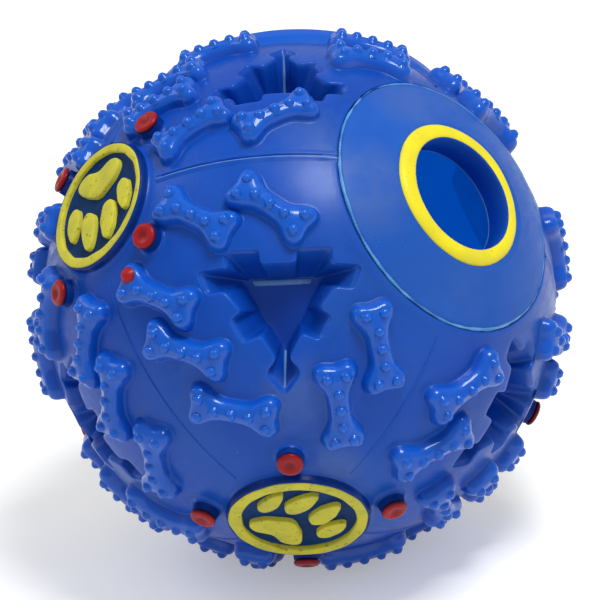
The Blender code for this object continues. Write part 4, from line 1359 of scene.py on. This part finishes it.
def plate_shape():
    """The port's plate and collar round +Z."""
    line = [
        (PORT_BORE, COLLAR_END), (PORT_RADIUS + 0.5, COLLAR_END - 0.12),
        (COLLAR_RADIUS - 0.4, COLLAR_END - 0.10), (COLLAR_RADIUS, COLLAR_END + 0.3),
        *arc(INSIDE, COLLAR_RADIUS, PORT_OPENING, 8)[1:],
        *arc(REBATE, PORT_OPENING, PLATE_RADIUS, 4)[1:], (PLATE_RADIUS, skin_level(PLATE_RADIUS) - 0.30),
        *[(reach, level - 0.02) for reach, level in arc(BALL, PLATE_RADIUS - 0.18, RIM_RADIUS + 0.9, 16)],
        (RIM_LAND, RIM_SEAT + 0.02), (RIM_RADIUS - 0.6, RIM_SEAT), (PORT_BORE, RIM_SEAT),
        (PORT_BORE, COLLAR_END),
    ]
    return solid_shape(spun(line, PLATE_STEPS))


def glinting_end_shape():
    """The inner edge of the collar's end, painted pale as a highlight, round +Z."""
    inner, outer = PORT_RADIUS, PORT_RADIUS + 0.35
    corners = [
        (inner, COLLAR_END - 0.10), (outer, COLLAR_END - 0.22), (outer, COLLAR_END + 0.1),
        (inner, COLLAR_END + 0.22),
    ]
    return solid_shape(turned_solid(corners, PLATE_STEPS, 0.1))


def glue_shape():
    """The uneven line of glue squeezed out round the plate, round +Z."""
    angles = np.arange(GLUE_STEPS) * math.tau / GLUE_STEPS
    width = 0.07 + 0.075 * np.abs(wander(angles, 7, 1.0, (61, 89, 127, 173)))
    width += wander(angles, 6, 0.045, (5, 9, 17, 31))
    for middle, reach, more in GLUE_SWELLS:
        width += more * np.exp(-((np.degrees(angles) - middle) / reach) ** 2)
    width = np.clip(width, *GLUE_WIDTHS)
    line = PLATE_RADIUS + 0.05 + wander(angles, 8, 0.06, (3, 7, 13, 29, 53, 89))
    rings = []
    for share, lift in GLUE_LINE:
        reach = line + width * share
        rings.append(level_ring(reach, angles, skin_level(reach) + lift))
    return solid_shape(strip(rings))


def rim_shape():
    """The raised rim of the port round +Z, with uneven painted edges."""
    angles = np.arange(RING_STEPS) * math.tau / RING_STEPS
    outer = RIM_RADIUS - 0.42 + 0.36 * np.cos(angles) + wander(angles, 9, 0.10, (2, 3, 5, 8, 13))
    inner = PORT_RADIUS + 0.10 + wander(angles, 10, 0.04, (2, 3, 5, 8))
    return solid_shape(strip([level_ring(edge + shift, angles, RIM_FACE + level) for edge, shift, level in (
        (inner, 0.0, -1.25), (inner, 0.0, -0.50), (inner, 0.16, -0.20), (inner, 0.55, -0.03),
        (inner, 1.0, -0.01), (outer, -1.75, -0.01), (outer, -1.20, -0.12), (outer, -0.62, -0.45),
        (outer, -0.18, -0.86), (outer, 0.0, -1.12), (outer, 0.0, -1.25), (inner, 0.0, -1.25),
    )]))


def make_port():
    """The treat port: its plate with the glue round it, and its rim, painted all but in the bore."""
    plate, rim = plate_shape(), rim_shape()
    middles = face_middles(plate)
    inside = np.linalg.norm(middles, axis=1) - BALL < LINED_BELOW
    lined, plate = parted(plate, inside & (np.hypot(*middles[:, :2].T) > COLLAR_RADIUS - 0.1))
    bare, painted = parted(rim, np.hypot(*face_middles(rim)[:, :2].T) < PORT_RADIUS + BARE_BORE)
    disc = [
        (plate, PLATE_VINYL), (lined, LINING_VINYL), (glinting_end_shape(), PAINTED_GLINT_VINYL), (glue_shape(), GLUE),
    ]
    ring = [(painted, RIM_PAINT), (bare, PLATE_VINYL)]
    turn = facing(*AXES["port"])
    for name, shapes, slot, node in (
        ("port_disc", disc, "blue_vinyl", "port_plate"), ("port_ring", ring, "yellow_vinyl", "port_rim"),
    ):
        placed = [(turned_to(shape, turn), material) for shape, material in shapes]
        piece(name, placed, slot, replaces=[node])


def make_cap():
    """The domed cap with the socket that holds the sounder."""
    bore, socket = TUBE_RADIUS + FIT_GAP, TUBE_RADIUS + SOCKET_WALL
    edge = math.sqrt((CAP_DOME - CAP_EDGE) ** 2 - CAP_RADIUS**2)
    line = [
        (0.0, SOCKET_FLOOR), (bore, SOCKET_FLOOR), (bore, SOCKET_END), (socket - 0.3, SOCKET_END),
        (socket, SOCKET_END + 0.3), *arc(INSIDE, socket, CAP_OPENING, 8)[1:],
        *arc(REBATE, CAP_OPENING, CAP_RADIUS, 4)[1:], (CAP_RADIUS, edge - 0.35),
        (CAP_RADIUS - 0.10, edge + 0.05), (CAP_RADIUS - 0.42, edge + 0.55),
        *arc(CAP_DOME - 0.02, CAP_RADIUS - 1.05, 0.0, 24),
    ]
    cap = turned_to(solid_shape(spun(line + line[:1], PLATE_STEPS)), facing(*AXES["cap"]))
    lined, cap = between(cap, -BALL, LINED_BELOW)
    shapes = [(cap, CAP_VINYL), (lined, LINING_VINYL)]
    piece("sounder_cap_dome", shapes, "blue_vinyl", replaces=["sounder_cap"])


def tube(bore, radius, start, end):
    """The corners of a plain tube or ring."""
    return [(bore, start), (radius, start), (radius, end), (bore, end)]


def stopper(bore, end, way):
    """The corners of a plug that stops an end of the sounder's tube."""
    head, step, foot = end + way * STOPPER_HEAD, end + way * FIT_GAP, end - way * STOPPER_DEPTH
    return [
        (bore, head), (TUBE_RADIUS, head), (TUBE_RADIUS, step), (SLIDING_RADIUS, step),
        (SLIDING_RADIUS, foot), (bore, foot),
    ]


def make_sounder():
    """The sounder in the cap, with the weighted reed plug that slides in it."""
    low, high = TUBE_SPAN
    vent = low + STOPPER_DEPTH + FIT_GAP
    base = high - STOPPER_DEPTH - FIT_GAP - BUMPER_THICKNESS
    rest = vent + BUMPER_THICKNESS + FIT_GAP
    flange, neck_end = rest + PLUG_FLANGE, rest + PLUG_LENGTH
    holder = neck_end + FIT_GAP
    plug = [
        (AIRWAY, rest), (SLIDING_RADIUS, rest), (SLIDING_RADIUS, flange), (PLUG_NECK, flange),
        (PLUG_NECK, neck_end), (AIRWAY, neck_end),
    ]
    weight = tube(PLUG_NECK + FIT_GAP, SLIDING_RADIUS, flange + FIT_GAP, rest + WEIGHT_END)
    reed_holder = tube(AIRWAY, SLIDING_RADIUS, holder, holder + HOLDER_THICKNESS)
    bumpers = [tube(BUMPER_BORE, SLIDING_RADIUS, start, start + BUMPER_THICKNESS) for start in (vent, base)]
    ivory, blue = (IVORY_PLASTIC, "ivory_plastic"), (DEEP_BLUE_PLASTIC, "deep_blue_plastic")
    grey, steel = (GREY_FELT, "grey_felt"), (STEEL, "steel")
    for name, corners, (material, slot), body, soft in (
        ("sounder_tube", tube(TUBE_BORE, TUBE_RADIUS, low, high), ivory, "ball", TURNED_EDGE),
        ("sounder_base_plug", stopper(0.0, high, 1), ivory, "ball", TURNED_EDGE),
        ("sounder_vent_plug", stopper(AIRWAY, low, -1), ivory, "ball", VENT_EDGE),
        ("vent_bumper", bumpers[0], grey, "ball", TURNED_EDGE),
        ("base_bumper", bumpers[1], grey, "ball", TURNED_EDGE),
        ("plug_body", plug, blue, "plug", TURNED_EDGE),
        ("plug_weight", weight, steel, "plug", TURNED_EDGE),
        ("reed_holder", reed_holder, blue, "plug", TURNED_EDGE),
    ):
        shape = turned_to(solid_shape(turned_solid(corners, TURNED_STEPS, soft)), facing(*AXES["cap"]))
        piece(name + "_turned", [(shape, material)], slot, body, [name])
    for name, material in (("reed_tongue", REED_BRASS), ("reed_clip", DEEP_BLUE_PLASTIC)):
        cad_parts[name].data.materials.clear()
        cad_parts[name].data.materials.append(material)


make_shells()
make_roundels()
make_port()
make_cap()
make_sounder()


# Floor, light and camera

FLOOR_RADIUS = 6.0
FLOOR_LIFT = 0.34
ROOM_LIGHT = 0.50

# The camera's own axes, its distance in metres, its lens in millimetres and its shift in metres
CAMERA_RIGHT = 0.64265 * PORT - 0.76615 * LEFT - 0.00399 * BOTTOM
CAMERA_UP = 0.41162 * PORT + 0.34965 * LEFT - 0.84161 * BOTTOM
CAMERA_BACK = 0.64620 * PORT + 0.53921 * LEFT + 0.54007 * BOTTOM
CAMERA_DISTANCE = 1.347
CAMERA_LENS, CAMERA_SENSOR = 371.6, 36
CAMERA_SHIFT = (0.00007, -0.00051)

# Lamps by place in metres right, up and back from the ball as the camera sees it, size and power
SOFTBOXES = [
    ("key_box", (0.20, 0.92, 0.68), (0.38, 0.38), 9.4),
    ("side_box", (-0.85, 0.72, 0.02), (0.45, 0.45), 1.4),
]


def make_floor():
    """A pale floor that looks evenly lit to the camera and in reflections."""
    bpy.ops.mesh.primitive_circle_add(vertices=96, radius=FLOOR_RADIUS, fill_type="NGON", location=(0, 0, 0))
    floor = bpy.context.object
    floor.name = "floor"
    material, nodes = finish("pale_floor")
    tone = nodes.spread(nodes.noise(3.0, 2), 0.3, 0.7)
    nodes.feed("Base Color", nodes.mix(tone, (0.86, 0.86, 0.86), (0.89, 0.89, 0.89)))
    nodes.set(Roughness=0.9, Emission_Color=(1, 1, 1, 1))
    path = nodes.add("LightPath").outputs
    mirrored = worked(nodes.tree, "MAXIMUM", path["Is Glossy Ray"], path["Is Transmission Ray"])
    seen = worked(nodes.tree, "MAXIMUM", path["Is Camera Ray"], mirrored)
    nodes.feed("Emission Strength", worked(nodes.tree, "MULTIPLY", seen, FLOOR_LIFT))
    floor.data.materials.append(material)


def softbox(name, place, aim, size, power):
    """A soft square lamp that faces a point."""
    lamp = bpy.data.lights.new(name, "AREA")
    lamp.shape = "RECTANGLE"
    lamp.size, lamp.size_y = size
    lamp.energy = power
    thing = bpy.data.objects.new(name, lamp)
    thing.location = place
    thing.rotation_euler = (Vector(aim) - Vector(place)).to_track_quat("-Z", "Y").to_euler()
    bpy.context.scene.collection.objects.link(thing)


def make_light():
    """A white room and the lamps."""
    world = bpy.data.worlds.new("studio")
    bpy.context.scene.world = world
    world.use_nodes = True
    set_inputs(world.node_tree.nodes["Background"], {"Color": (1, 1, 1, 1), "Strength": ROOM_LIGHT})
    for name, (right, up, back), size, power in SOFTBOXES:
        place = CENTRE + CAMERA_RIGHT * right + CAMERA_UP * up + CAMERA_BACK * back
        softbox(name, place, CENTRE, size, power)


def make_camera():
    """A camera where the photo was taken from."""
    camera = bpy.data.objects.new("camera", bpy.data.cameras.new("camera"))
    camera.data.lens = CAMERA_LENS
    camera.data.sensor_width = CAMERA_SENSOR
    camera.data.clip_start = 0.05
    turn = Matrix((CAMERA_RIGHT, CAMERA_UP, CAMERA_BACK)).transposed().to_4x4()
    aside = CAMERA_RIGHT * CAMERA_SHIFT[0] + CAMERA_UP * CAMERA_SHIFT[1]
    camera.matrix_world = Matrix.Translation(CENTRE + CAMERA_BACK * CAMERA_DISTANCE + aside) @ turn
    bpy.context.scene.collection.objects.link(camera)
    bpy.context.scene.camera = camera


make_floor()
make_light()
make_camera()
bpy.context.scene.view_settings.view_transform = "Standard"
